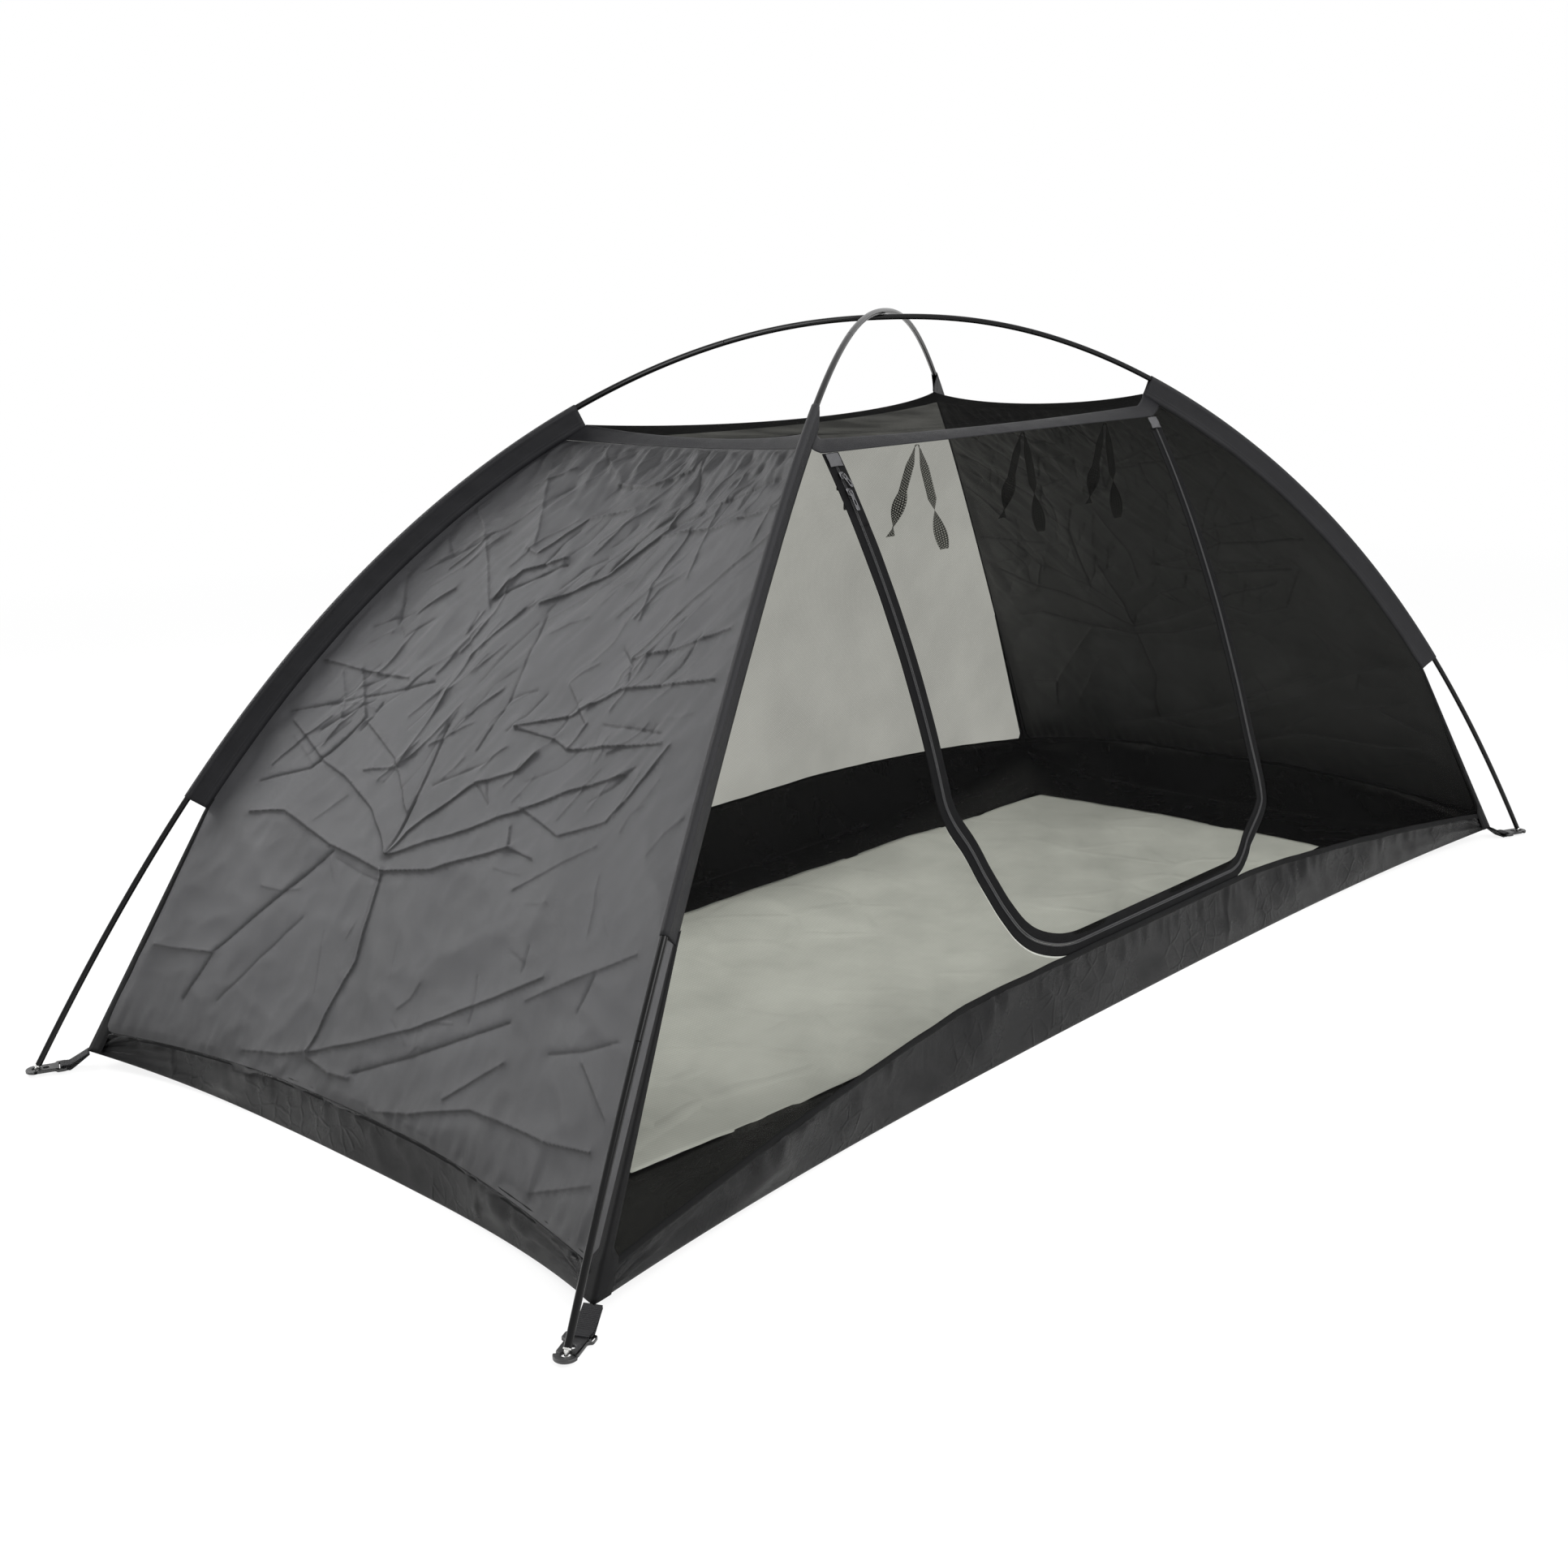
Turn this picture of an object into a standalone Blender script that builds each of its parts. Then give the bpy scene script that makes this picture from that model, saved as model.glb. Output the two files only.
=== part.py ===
"""A mosquito net tent for one person, pitched: two crossed poles in fabric sleeves carry a net body
with solid end walls, a bathtub floor and a zipped door in the front wall.

Metres, +Z up. The origin is on the ground under the crossing of the poles. +X runs along the long
side and the door faces -Y. The tent has the same shape after half a turn about Z, doors aside.
"""

import math

import bmesh
import bpy
from mathutils import Matrix, Vector

for old in list(bpy.data.objects):
    bpy.data.objects.remove(old)

# The pitched frame
foot_spacing_x = 2.2
foot_spacing_y = 1.036
apex_height = 0.915
pole_curve_power = 2.25
pole_sway = {"a": 0.0214, "b": 0.0413}
pole_double_sway = {"a": 0.0266, "b": -0.0048}

# Poles: glass fibre tube in seven sections, with glued spigots, shock cord and metal tips
pole_diameter = 0.0079
pole_bore = 0.0052
pole_sides = 8
foot_section_length = 0.30
foot_section_steps = 2
middle_sections = 5
middle_section_steps = 6
section_gap = 0.0003
spigot_diameter = 0.0040
spigot_bore = 0.0029
spigot_reach = 0.030
shock_cord_diameter = 0.0020
tip_pin_radius = 0.0009
tip_pin_length = 0.0060
tip_neck_radius = 0.0019
tip_cone_radius = 0.0033
tip_cone_height = 0.0060
tip_flange_radius = 0.0043
tip_flange_thickness = 0.0018
tip_plug_length = 0.020
tip_plug_clearance = 0.0003

# Sleeves: a strip folded over the pole and sewn to the body along one seam
sleeve_low_share = 0.253
sleeve_high_share = 0.70
sleeve_depth = 0.028
sleeve_thickness = 0.0008
sleeve_pole_clearance = 0.0007
sleeve_leg_gap = 0.0006
sleeve_waist = 0.0044

# Body: fabric panels between the four seam lines
fabric_thickness = 0.0008
seam_gap = 0.0004
corner_gap = 0.0024
band_corner_gap = 0.0014
wall_columns = 16
wall_rows = 8
body_corner_share = 0.943
body_corner_height = 0.020
wall_foot_height = 0.045
wall_top_height = 0.768
trim_corner_height = 0.786
trim_sag = 0.007
trim_middle_depth = 0.024
trim_middle_rise = 0.010
side_bow = 0.055
end_bow = 0.040
roof_sag = 0.010
roof_inset = 0.002

# Bathtub: a fabric band on the ground that turns up to the walls, and a pale groundsheet in it
band_heights = {"front": 0.097, "right": 0.096, "rear": 0.122, "left": 0.060}
band_height_power = 2.2
band_flat_share = 0.30
ground_bow_side = 0.071
ground_bow_end = 0.057
ground_bow_power = 3.0
floor_half_length = 0.800
floor_half_width = 0.285
floor_bow_end = 0.020
floor_bow_side = 0.030
floor_thickness = 0.0010

# Door: a U-shaped zip in the front wall, whose upright profile is an arc
door_top_depth = 0.1988
door_top_height = 0.756
door_foot_depth = 0.413
door_foot_height = 0.105
door_bulge = 0.0394
door_left = -0.346
door_right = 0.367
zip_corner_radii = {"left": 0.240, "right": 0.090}
zip_upright_steps = 8
zip_corner_shares = (0.0, 0.15, 0.30, 0.45, 0.60, 0.74, 0.85, 0.92, 0.96, 1.0)
zip_coil_gap = 0.0006
zip_coil_width = 0.0024
zip_coil_half_thickness = 0.00135
zip_tape_width = 0.0120
zip_tape_thickness = 0.0008
zip_edge_gap = 0.0003
zip_head_length = 0.100
zip_head_gap = 0.0016
garage_length = 0.020
garage_drop = 0.0025
garage_gap = 0.0004
garage_thickness = 0.0008

# Zip sliders and their pulls
slider_first_drop = 0.033
slider_pitch = 0.022
slider_length = 0.0100
slider_width = 0.0084
slider_channel = 0.0036
slider_plate = 0.0012
slider_web = 0.0006
bail_width = 0.0012
bail_length = 0.0044
bail_height = 0.0038
bail_hole = 0.0026
pull_pin_diameter = 0.0010
pull_thickness = 0.0012
pull_width = 0.0064
pull_window_width = 0.0036
pull_window_length = 0.0040
pull_lengths = {"upper_outer": 0.0185, "lower_outer": 0.026, "upper_inner": 0.0145, "lower_inner": 0.0185}
pull_hole_width = 0.0030
pull_hole_length = 0.0070
upper_pull_turn_degrees = 24.0

# Tie tapes: ribbons of net, each sewn at its middle inside the door head, with two hanging tails
tie_width = 0.018
tie_pinch_width = 0.004
tie_thickness = 0.0008
tie_gap = 0.0005
tie_places = (-0.175, 0.055, 0.258)
tie_tail_lengths = {"left": 0.112, "right": 0.140}
tie_spread = 0.005
tie_leans = (0.051, 0.041, 0.034)
tie_steps = 12
tie_opening = 1 / 6

# Anchor plates and webbing at the four feet
plate_thickness = 0.0036
plate_lift = 0.0040
plate_length = 0.050
plate_nose_radius = 0.0125
plate_head_width = 0.033
plate_head_length = 0.014
plate_tip_hole = 0.0100
plate_spare_hole = 0.0080
plate_spare_step = 0.0125
plate_slot_width = 0.0225
plate_slot_length = 0.0050
plate_bar = 0.0045
webbing_width = 0.020
webbing_thickness = 0.0016
webbing_clearance = 0.0005

# Shared small values
cut_overrun = 0.002
merge_distance = 0.00001
tangent_step = 0.001

legs = {
    "front_left": (-1, -1, "b"),
    "front_right": (1, -1, "a"),
    "rear_right": (1, 1, "b"),
    "rear_left": (-1, 1, "a"),
}
pole_feet = {"a": ("rear_left", "front_right"), "b": ("front_left", "rear_right")}

tent = bpy.data.collections.new("mosquito_net_tent")
bpy.context.scene.collection.children.link(tent)
cutters = bpy.data.collections.new("cutters")
bpy.context.scene.collection.children.link(cutters)


def material(name, colour, roughness, metallic=0.0):
    """A Principled material of one colour."""
    found = bpy.data.materials.get(name)
    if found:
        return found
    made = bpy.data.materials.new(name)
    made.use_nodes = True
    shader = made.node_tree.nodes["Principled BSDF"]
    shader.inputs["Base Color"].default_value = (*colour, 1.0)
    shader.inputs["Roughness"].default_value = roughness
    shader.inputs["Metallic"].default_value = metallic
    made.diffuse_color = (*colour, 1.0)
    return made


def add_object(name, mesh, look, collection=tent):
    """Put a mesh in the tent under the name of its piece."""
    made = bpy.data.objects.new(name, mesh)
    collection.objects.link(made)
    mesh.materials.append(look.copy() if collection is tent else look)
    return made


def mesh_from(name, bm):
    """Write a bmesh to a mesh, shaded smooth with its real edges sharp."""
    mesh = bpy.data.meshes.new(name)
    bm.normal_update()
    bm.to_mesh(mesh)
    bm.free()
    mesh.shade_smooth()
    mesh.set_sharp_from_angle(angle=math.radians(40))
    return mesh


def frozen(made):
    """Give an object the mesh that its modifiers make, and drop the modifiers."""
    bpy.context.view_layer.update()
    evaluated = made.evaluated_get(bpy.context.evaluated_depsgraph_get())
    mesh = bpy.data.meshes.new_from_object(evaluated)
    made.modifiers.clear()
    made.data = mesh
    return made


def sheet(name, columns, rows, place, outward, thickness, look):
    """A fabric panel: a grid laid on the surface place(s, t), with its thickness to the inside."""
    bm = bmesh.new()
    bmesh.ops.create_grid(bm, x_segments=columns, y_segments=rows, size=1.0)
    for vert in bm.verts:
        column = round((vert.co.x + 1) / 2 * columns)
        row = round((vert.co.y + 1) / 2 * rows)
        vert.co = place(column / columns, row / rows)
    bm.normal_update()
    lean = sum((face.normal * face.calc_area() for face in bm.faces), Vector())
    if lean.dot(outward) < 0:
        bmesh.ops.reverse_faces(bm, faces=bm.faces)
    made = add_object(name, mesh_from(name, bm), look)
    solid = made.modifiers.new("thickness", "SOLIDIFY")
    solid.thickness = thickness
    solid.offset = -1
    return made


def loft(sections, closed_section=True, capped=True, twisted=False):
    """Skin a list of sections with quads: a shape between unlike sections. Like end sections are joined.
    Between twisted sections each quad is cut in two, along the same line on both broad faces."""
    bm = bmesh.new()
    rings = [[bm.verts.new(point) for point in section] for section in sections]
    sides = len(rings[0])
    for near, far in zip(rings, rings[1:]):
        for index in range(sides if closed_section else sides - 1):
            after = (index + 1) % sides
            corners = [near[index], near[after], far[after], far[index]]
            if not twisted:
                bm.faces.new(corners)
                continue
            if index >= sides // 2:
                corners = corners[1:] + corners[:1]
            bm.faces.new(corners[:3])
            bm.faces.new(corners[2:] + corners[:1])
    if closed_section and capped:
        bm.faces.new(reversed(rings[0]))
        bm.faces.new(rings[-1])
    if closed_section:
        bmesh.ops.remove_doubles(bm, verts=bm.verts, dist=merge_distance)
        bmesh.ops.recalc_face_normals(bm, faces=bm.faces)
    return bm


def block(size, centre):
    """A box of the given size about a centre."""
    bm = bmesh.new()
    bmesh.ops.create_cube(bm, size=1.0)
    bmesh.ops.scale(bm, vec=Vector(size), verts=bm.verts)
    bmesh.ops.translate(bm, vec=Vector(centre), verts=bm.verts)
    return bm


def rod(radius, length, centre, along, sides=12):
    """A cylinder about a centre, along the given direction."""
    bm = bmesh.new()
    bmesh.ops.create_cone(bm, cap_ends=True, segments=sides, radius1=radius, radius2=radius, depth=length)
    turn = Vector((0, 0, 1)).rotation_difference(Vector(along)).to_matrix().to_4x4()
    bmesh.ops.transform(bm, matrix=Matrix.Translation(centre) @ turn, verts=bm.verts)
    return bm


def combine(name, base, steps, look, place):
    """Cut or join blocks and rods with a base, then put the result in its place."""
    made = add_object(name, mesh_from(name, base), look)
    tools = []
    for operation, bm in steps:
        tool = add_object(name + "_cutter", mesh_from(name + "_cutter", bm), look, cutters)
        tool.hide_render = True
        tool.display_type = "WIRE"
        cut = made.modifiers.new(operation.lower(), "BOOLEAN")
        cut.operation = operation
        cut.solver = "EXACT"
        cut.object = tool
        tools.append(tool)
    frozen(made)
    for tool in tools:
        bpy.data.objects.remove(tool)
    made.matrix_world = place
    return made


looks = {
    "pole": material("black_glass_fibre", (0.010, 0.010, 0.011), 0.25),
    "metal": material("bright_steel", (0.55, 0.55, 0.55), 0.30, 1.0),
    "cord": material("elastic_cord", (0.55, 0.55, 0.53), 0.80),
    "fabric": material("dark_grey_polyester", (0.085, 0.086, 0.088), 0.62),
    "band": material("coated_dark_polyester", (0.055, 0.055, 0.058), 0.45),
    "net": material("black_mosquito_net", (0.045, 0.046, 0.045), 0.90),
    "floor": material("pale_groundsheet", (0.55, 0.56, 0.52), 0.70),
    "webbing": material("black_webbing", (0.012, 0.012, 0.012), 0.85),
    "plate": material("black_moulded_plastic", (0.012, 0.012, 0.012), 0.40),
    "zip": material("black_zip_tape", (0.016, 0.016, 0.018), 0.70),
}


# The curve of each leg, from its foot (share 1) to the crossing (share 0)
def pole_point(leg, share):
    side_x, side_y, pole = legs[leg]
    foot = Vector((side_x * foot_spacing_x / 2, side_y * foot_spacing_y / 2, 0))
    across = Vector((-foot.y, foot.x, 0)).normalized()
    bend = math.pi * share
    sway = pole_sway[pole] * math.sin(bend) + pole_double_sway[pole] * math.sin(2 * bend)
    half_step = (pole_diameter + section_gap) / 2
    top = apex_height + (half_step if pole == "b" else -half_step)
    rise = top * (1 - share ** pole_curve_power)
    return foot * share + across * sway + Vector((0, 0, rise))


def leg_table(leg, count=240):
    """Distance from the foot along a leg, and the share there."""
    table = [(0.0, 1.0)]
    last = pole_point(leg, 1.0)
    for step in range(1, count + 1):
        share = 1.0 - step / count
        point = pole_point(leg, share)
        table.append((table[-1][0] + (point - last).length, share))
        last = point
    return table


def interpolate(table, key):
    """Read a table of (key, value) pairs, straight between its rows."""
    for (low_key, low), (high_key, high) in zip(table, table[1:]):
        if key <= high_key:
            part = (key - low_key) / (high_key - low_key)
            return low + (high - low) * part
    return table[-1][1]


leg_tables = {leg: leg_table(leg) for leg in legs}
leg_lengths = {leg: table[-1][0] for leg, table in leg_tables.items()}


def curve_point(pole, distance):
    """The point of a pole at a distance from its first foot."""
    first, second = pole_feet[pole]
    if distance <= leg_lengths[first]:
        return pole_point(first, interpolate(leg_tables[first], distance))
    beyond = leg_lengths[first] + leg_lengths[second] - distance
    return pole_point(second, interpolate(leg_tables[second], beyond))


def pole_length(pole):
    return sum(leg_lengths[leg] for leg in pole_feet[pole])


def pole_joints(pole):
    """Distances of the section ends from the first foot of a pole."""
    middle = (pole_length(pole) - 2 * foot_section_length) / middle_sections
    ends = [foot_section_length + middle * index for index in range(middle_sections + 1)]
    return [0.0] + ends + [pole_length(pole)]


# Each pole is a chain of short straight steps, and all that lies on or in it follows that chain
pole_chains = {}
for pole in pole_feet:
    ends = pole_joints(pole)
    stations = [0.0]
    for start, end in zip(ends, ends[1:]):
        at_foot = start == 0.0 or end == ends[-1]
        steps = foot_section_steps if at_foot else middle_section_steps
        stations += [start + (end - start) * step / steps for step in range(1, steps + 1)]
    pole_chains[pole] = [(distance, curve_point(pole, distance)) for distance in stations]


def chain_point(pole, distance):
    return interpolate(pole_chains[pole], distance)


def chain_stations(pole, start, end):
    """The distances of a stretch of a pole's chain: both ends and the bends between them."""
    bends = [distance for distance, point in pole_chains[pole]
             if start + tangent_step < distance < end - tangent_step]
    return [start] + bends + [end]


def chain_frame(pole, distance):
    """Point of the chain, its direction, and the two directions square to it: sideways and down."""
    before = chain_point(pole, max(distance - tangent_step, 0.0))
    after = chain_point(pole, min(distance + tangent_step, pole_length(pole)))
    along = (after - before).normalized()
    down = Vector((0, 0, -1))
    down = (down - along * down.dot(along)).normalized()
    return chain_point(pole, distance), along, along.cross(down).normalized(), down


def tube_ring(pole, distance, radius):
    """One ring of corners round a pole's chain."""
    centre, along, side, down = chain_frame(pole, distance)
    angles = [2 * math.pi * (index + 0.5) / pole_sides for index in range(pole_sides)]
    return [centre + (side * math.cos(angle) + down * math.sin(angle)) * radius for angle in angles]


def tube(name, pole, profile, look):
    """A hollow turned piece along a pole's chain: its profile is a closed loop of (distance, radius)."""
    rings = [tube_ring(pole, distance, radius) for distance, radius in profile]
    return add_object(name, mesh_from(name, loft(rings + rings[:1], capped=False)), look)


# Pole sections: each but the last has a spigot glued in its upper end, which enters the next one
tip_length = tip_pin_length + tip_cone_height + tip_flange_thickness
for pole in pole_feet:
    ends = pole_joints(pole)
    for index, (start, end) in enumerate(zip(ends, ends[1:])):
        first = start + (tip_length + section_gap if index == 0 else section_gap / 2)
        last_section = end == ends[-1]
        last = end - (tip_length + section_gap if last_section else section_gap / 2)
        outside = [(distance, pole_diameter / 2) for distance in chain_stations(pole, first, last)]
        bore_end = last if last_section else end - spigot_reach
        inside = [(distance, pole_bore / 2) for distance in chain_stations(pole, first, bore_end)]
        spigot = []
        if not last_section:
            spigot = [(last, spigot_diameter / 2), (end + spigot_reach, spigot_diameter / 2),
                      (end + spigot_reach, spigot_bore / 2), (end, spigot_bore / 2),
                      (end - spigot_reach, spigot_bore / 2)]
        tube(f"pole_{pole}_section_{index + 1}", pole, outside + spigot + inside[::-1], looks["pole"])

# Shock cords: one through each pole, from tip to tip
cord_inset = tip_length + tip_plug_length + section_gap
for pole in pole_feet:
    distances = chain_stations(pole, cord_inset, pole_length(pole) - cord_inset)
    rings = [tube_ring(pole, distance, shock_cord_diameter / 2) for distance in distances]
    add_object(f"shock_cord_{pole}", mesh_from(f"shock_cord_{pole}", loft(rings)), looks["cord"])


# Pole tips: turned metal, a plug in the bore, a flange, a cone through the anchor plate and a pin
def foot_frame(leg):
    """The foot of a leg and the direction up its pole."""
    pole = legs[leg][2]
    if pole_feet[pole][0] == leg:
        foot, along, side, down = chain_frame(pole, 0.0)
        return foot, along
    foot, along, side, down = chain_frame(pole, pole_length(pole))
    return foot, -along


plug_radius = pole_bore / 2 * math.cos(math.pi / pole_sides) - tip_plug_clearance
tip_profile = (
    (0.0, tip_length + tip_plug_length),
    (plug_radius, tip_length + tip_plug_length),
    (plug_radius, tip_length),
    (tip_flange_radius, tip_length),
    (tip_flange_radius, tip_length - tip_flange_thickness),
    (tip_cone_radius, tip_length - tip_flange_thickness),
    (tip_neck_radius, tip_pin_length),
    (tip_pin_radius, tip_pin_length),
    (tip_pin_radius, tip_pin_radius),
    (0.0, 0.0),
)
for leg in legs:
    foot, up = foot_frame(leg)
    turn = Vector((0, 0, 1)).rotation_difference(up).to_matrix().to_4x4()
    tip = bmesh.new()
    corners = [tip.verts.new((radius, 0, height)) for radius, height in tip_profile]
    edges = [tip.edges.new(pair) for pair in zip(corners, corners[1:])]
    bmesh.ops.spin(tip, geom=corners + edges, cent=(0, 0, 0), axis=(0, 0, 1), angle=2 * math.pi,
                   steps=pole_sides, use_merge=False, use_duplicate=False)
    bmesh.ops.remove_doubles(tip, verts=tip.verts, dist=merge_distance)
    bmesh.ops.recalc_face_normals(tip, faces=tip.faces)
    made = add_object(f"pole_tip_{leg}", mesh_from(f"pole_tip_{leg}", tip), looks["metal"])
    made.matrix_world = Matrix.Translation(foot) @ turn


# Seam lines: where a sleeve and two walls meet, below the pole in its upright plane
def body_corner(leg):
    foot = pole_point(leg, 1.0)
    return Vector((foot.x * body_corner_share, foot.y * body_corner_share, body_corner_height))


def sleeve_stations(leg):
    """Distances along the pole of a sleeve's stations, from its low end to its high end."""
    pole = legs[leg][2]
    low = sleeve_low_share * leg_lengths[leg]
    high = sleeve_high_share * leg_lengths[leg]
    if pole_feet[pole][0] == leg:
        return chain_stations(pole, low, high)
    total = pole_length(pole)
    return chain_stations(pole, total - high, total - low)[::-1]


seam_tables = {}
for leg in legs:
    seam = [body_corner(leg)]
    for distance in sleeve_stations(leg):
        centre, along, side, down = chain_frame(legs[leg][2], distance)
        seam.append(centre + down * sleeve_depth)
    seam_tables[leg] = [(point.z, point) for point in seam]


def seam_at(leg, height):
    """The point of a seam line at a height."""
    return interpolate(seam_tables[leg], height)


# Walls: straight across from seam to seam at each height, drawn in by a bow
wall_legs = {
    "front": ("front_left", "front_right"),
    "right": ("front_right", "rear_right"),
    "rear": ("rear_right", "rear_left"),
    "left": ("rear_left", "front_left"),
}
wall_outward = {
    "front": Vector((0, -1, 0)),
    "right": Vector((1, 0, 0)),
    "rear": Vector((0, 1, 0)),
    "left": Vector((-1, 0, 0)),
}
wall_bow = {"front": side_bow, "right": end_bow, "rear": side_bow, "left": end_bow}


def hump(share):
    """1 in the middle of a side and 0 at its ends."""
    return 4 * share * (1 - share)


def wall_point(wall, share, height):
    """A point of a wall's outer face."""
    first, second = wall_legs[wall]
    start = seam_at(first, height)
    end = seam_at(second, height)
    inset = corner_gap / (end - start).length
    part = inset + share * (1 - 2 * inset)
    return start.lerp(end, part) - wall_outward[wall] * (wall_bow[wall] * hump(part))


def band_top(wall, share):
    """Height of the seam between a wall and its band."""
    full = 1 - band_flat_share ** band_height_power
    rise = min((1 - abs(2 * share - 1) ** band_height_power) / full, 1.0)
    return wall_foot_height + (band_heights[wall] - wall_foot_height) * rise


def wall_top(wall, share):
    return wall_top_height - trim_sag * hump(share)


def plain_wall(wall):
    def place(s, t):
        foot = band_top(wall, s) + seam_gap
        head = wall_top(wall, s) - seam_gap
        return wall_point(wall, s, foot + (head - foot) * t)
    return place


for name, wall, look in (("end_wall_left", "left", "fabric"), ("end_wall_right", "right", "fabric"),
                         ("rear_net", "rear", "net")):
    sheet(name, wall_columns, wall_rows, plain_wall(wall), wall_outward[wall], fabric_thickness, looks[look])

# Door arc: a circle through the head and foot of the door, bulging outwards
head = Vector((door_top_depth, door_top_height))
foot_of_door = Vector((door_foot_depth, door_foot_height))
chord = head - foot_of_door
arc_radius = (chord.length ** 2 / 4 + door_bulge ** 2) / (2 * door_bulge)
arc_outward = Vector((chord.y, -chord.x)).normalized()
arc_centre = (head + foot_of_door) / 2 - arc_outward * (arc_radius - door_bulge)


def arc_length_at(height):
    """Length along the door's arc, from the level of its centre up to a height."""
    return arc_radius * math.asin((height - arc_centre.y) / arc_radius)


def door_surface(across, up, out=0.0):
    """A point on the front wall's arc: metres across, metres up along the arc, metres outwards."""
    angle = up / arc_radius
    reach = arc_radius + out
    return Vector((across, -(arc_centre.x + reach * math.cos(angle)), arc_centre.y + reach * math.sin(angle)))


def door_depth(height):
    return arc_centre.x + math.sqrt(arc_radius ** 2 - (height - arc_centre.y) ** 2)


zip_half_width = zip_coil_gap + zip_coil_width + zip_tape_width
zone_left = door_left - zip_half_width - zip_edge_gap
zone_right = door_right + zip_half_width + zip_edge_gap
up_top = arc_length_at(door_top_height)
up_bottom = arc_length_at(band_heights["front"] + 2 * seam_gap) + zip_half_width


def front_point(across, height):
    """A point of the front wall's outer face: the door's arc, and straight on to the seams beside it."""
    if zone_left <= across <= zone_right:
        return Vector((across, -door_depth(height), height))
    leg, near = ("front_left", zone_left) if across < zone_left else ("front_right", zone_right)
    seam = seam_at(leg, height)
    part = (across - near) / (seam.x - near)
    return Vector((across, -door_depth(height), height)).lerp(Vector((across, seam.y, height)), part)


# The zip's U, as stations down each side: place across, height up the arc, and direction
def zip_stations(side, top):
    sign = 1 if side == "left" else -1
    wall = door_left if side == "left" else door_right
    radius = zip_corner_radii[side]
    corner_up = up_bottom + radius
    stations = [(wall, top + (corner_up - top) * step / zip_upright_steps, 0.0, -1.0)
                for step in range(zip_upright_steps)]
    for share in zip_corner_shares:
        angle = math.pi / 2 * share
        stations.append((wall + sign * radius * (1 - math.cos(angle)), corner_up - radius * math.sin(angle),
                         sign * math.sin(angle), -math.cos(angle)))
    return stations


def zip_offset(station, side, out):
    """Place across and up of a point beside the zip, out from the door by a distance."""
    across, up, run_across, run_up = station
    sign = 1 if side == "left" else -1
    return across + sign * run_up * out, up - sign * run_across * out


def front_net_place(side):
    """The net between a seam and the zip, cut to the band, the door head and the U's corner."""
    leg = "front_left" if side == "left" else "front_right"
    sign = 1 if side == "left" else -1
    stations = zip_stations(side, up_top)[-3::-1]
    out = zip_half_width + zip_edge_gap
    seam_ends = seam_at("front_left", wall_foot_height), seam_at("front_right", wall_foot_height)

    def foot_height(x):
        share = (x - seam_ends[0].x) / (seam_ends[1].x - seam_ends[0].x)
        return band_top("front", min(max(share, 0.0), 1.0)) + 2 * seam_gap

    def zip_side(t):
        across, up = zip_offset(stations[round(t * (len(stations) - 1))], side, out)
        point = door_surface(across, up)
        return Vector((point.x, point.z - (seam_gap if t == 1 else 0)))

    def seam_side(t):
        height = wall_foot_height + seam_gap + (wall_top_height - wall_foot_height - 2 * seam_gap) * t
        return Vector((seam_at(leg, height).x + sign * corner_gap, height))

    def foot_side(s):
        x = seam_side(0).x + (zip_side(0).x - seam_side(0).x) * s
        return Vector((x, foot_height(x) if s < 1 else zip_side(0).y))

    def place(s, t):
        across = seam_side(t).lerp(zip_side(t), s)
        upright = foot_side(s).lerp(seam_side(1).lerp(zip_side(1), s), t)
        both = seam_side(0).lerp(zip_side(0), s).lerp(seam_side(1).lerp(zip_side(1), s), t)
        flat = across + upright - both
        return front_point(flat.x, flat.y)
    return place


zip_rows = zip_upright_steps + len(zip_corner_shares) - 1
for side in ("left", "right"):
    sheet(f"front_net_{side}", 6, zip_rows - 2, front_net_place(side), wall_outward["front"],
          fabric_thickness, looks["net"])


# Door net: inside the zip's U, hung from the head of the front wall
def door_net_place(s, t):
    row = round((1 - t) * zip_rows)
    inner = -(zip_half_width + zip_edge_gap)
    left = zip_offset(zip_stations("left", up_top - seam_gap)[row], "left", inner)
    right = zip_offset(zip_stations("right", up_top - seam_gap)[row], "right", inner)
    return door_surface(left[0] + (right[0] - left[0]) * s, left[1] + (right[1] - left[1]) * s)


sheet("door_net", 8, zip_rows, door_net_place, wall_outward["front"], fabric_thickness, looks["net"])


# Zip tapes: a tape with one half of the coil along its edge, swept round the U
def half_zip_section(side):
    """Outline of one tape and its coil: (away from the middle of the zip, outwards)."""
    coil_edge = zip_coil_gap + zip_coil_width
    tape = zip_tape_thickness / 2
    coil = zip_coil_half_thickness
    outline = ((zip_coil_gap, -coil), (zip_coil_gap, coil), (coil_edge, coil), (coil_edge, tape),
               (zip_half_width, tape), (zip_half_width, -tape), (coil_edge, -tape), (coil_edge, -coil))
    return [(side * away, out) for away, out in outline]


def zip_tape(name, left, right, side):
    """side 1 is the tape on the tent, -1 the tape on the door."""
    sections = []
    for station, which in [(station, "left") for station in left] + [(station, "right") for station in right]:
        section = []
        for away, out in half_zip_section(side):
            across, up = zip_offset(station, which, away)
            section.append(door_surface(across, up, out))
        sections.append(section)
    return add_object(name, mesh_from(name, loft(sections)), looks["zip"])


tape_top = up_top - 2 * seam_gap
head_low = up_top - zip_head_length
zip_tape("zip_tent_side", zip_stations("left", tape_top), zip_stations("right", tape_top)[::-1], 1)
zip_tape("zip_door_side", zip_stations("left", head_low - zip_head_gap),
         zip_stations("right", up_top - garage_length - zip_head_gap)[::-1], -1)
head_stations = [(door_left, tape_top + (head_low - tape_top) * step / 3, 0.0, -1.0) for step in range(4)]
zip_tape("zip_door_head", head_stations, [], -1)

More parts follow.
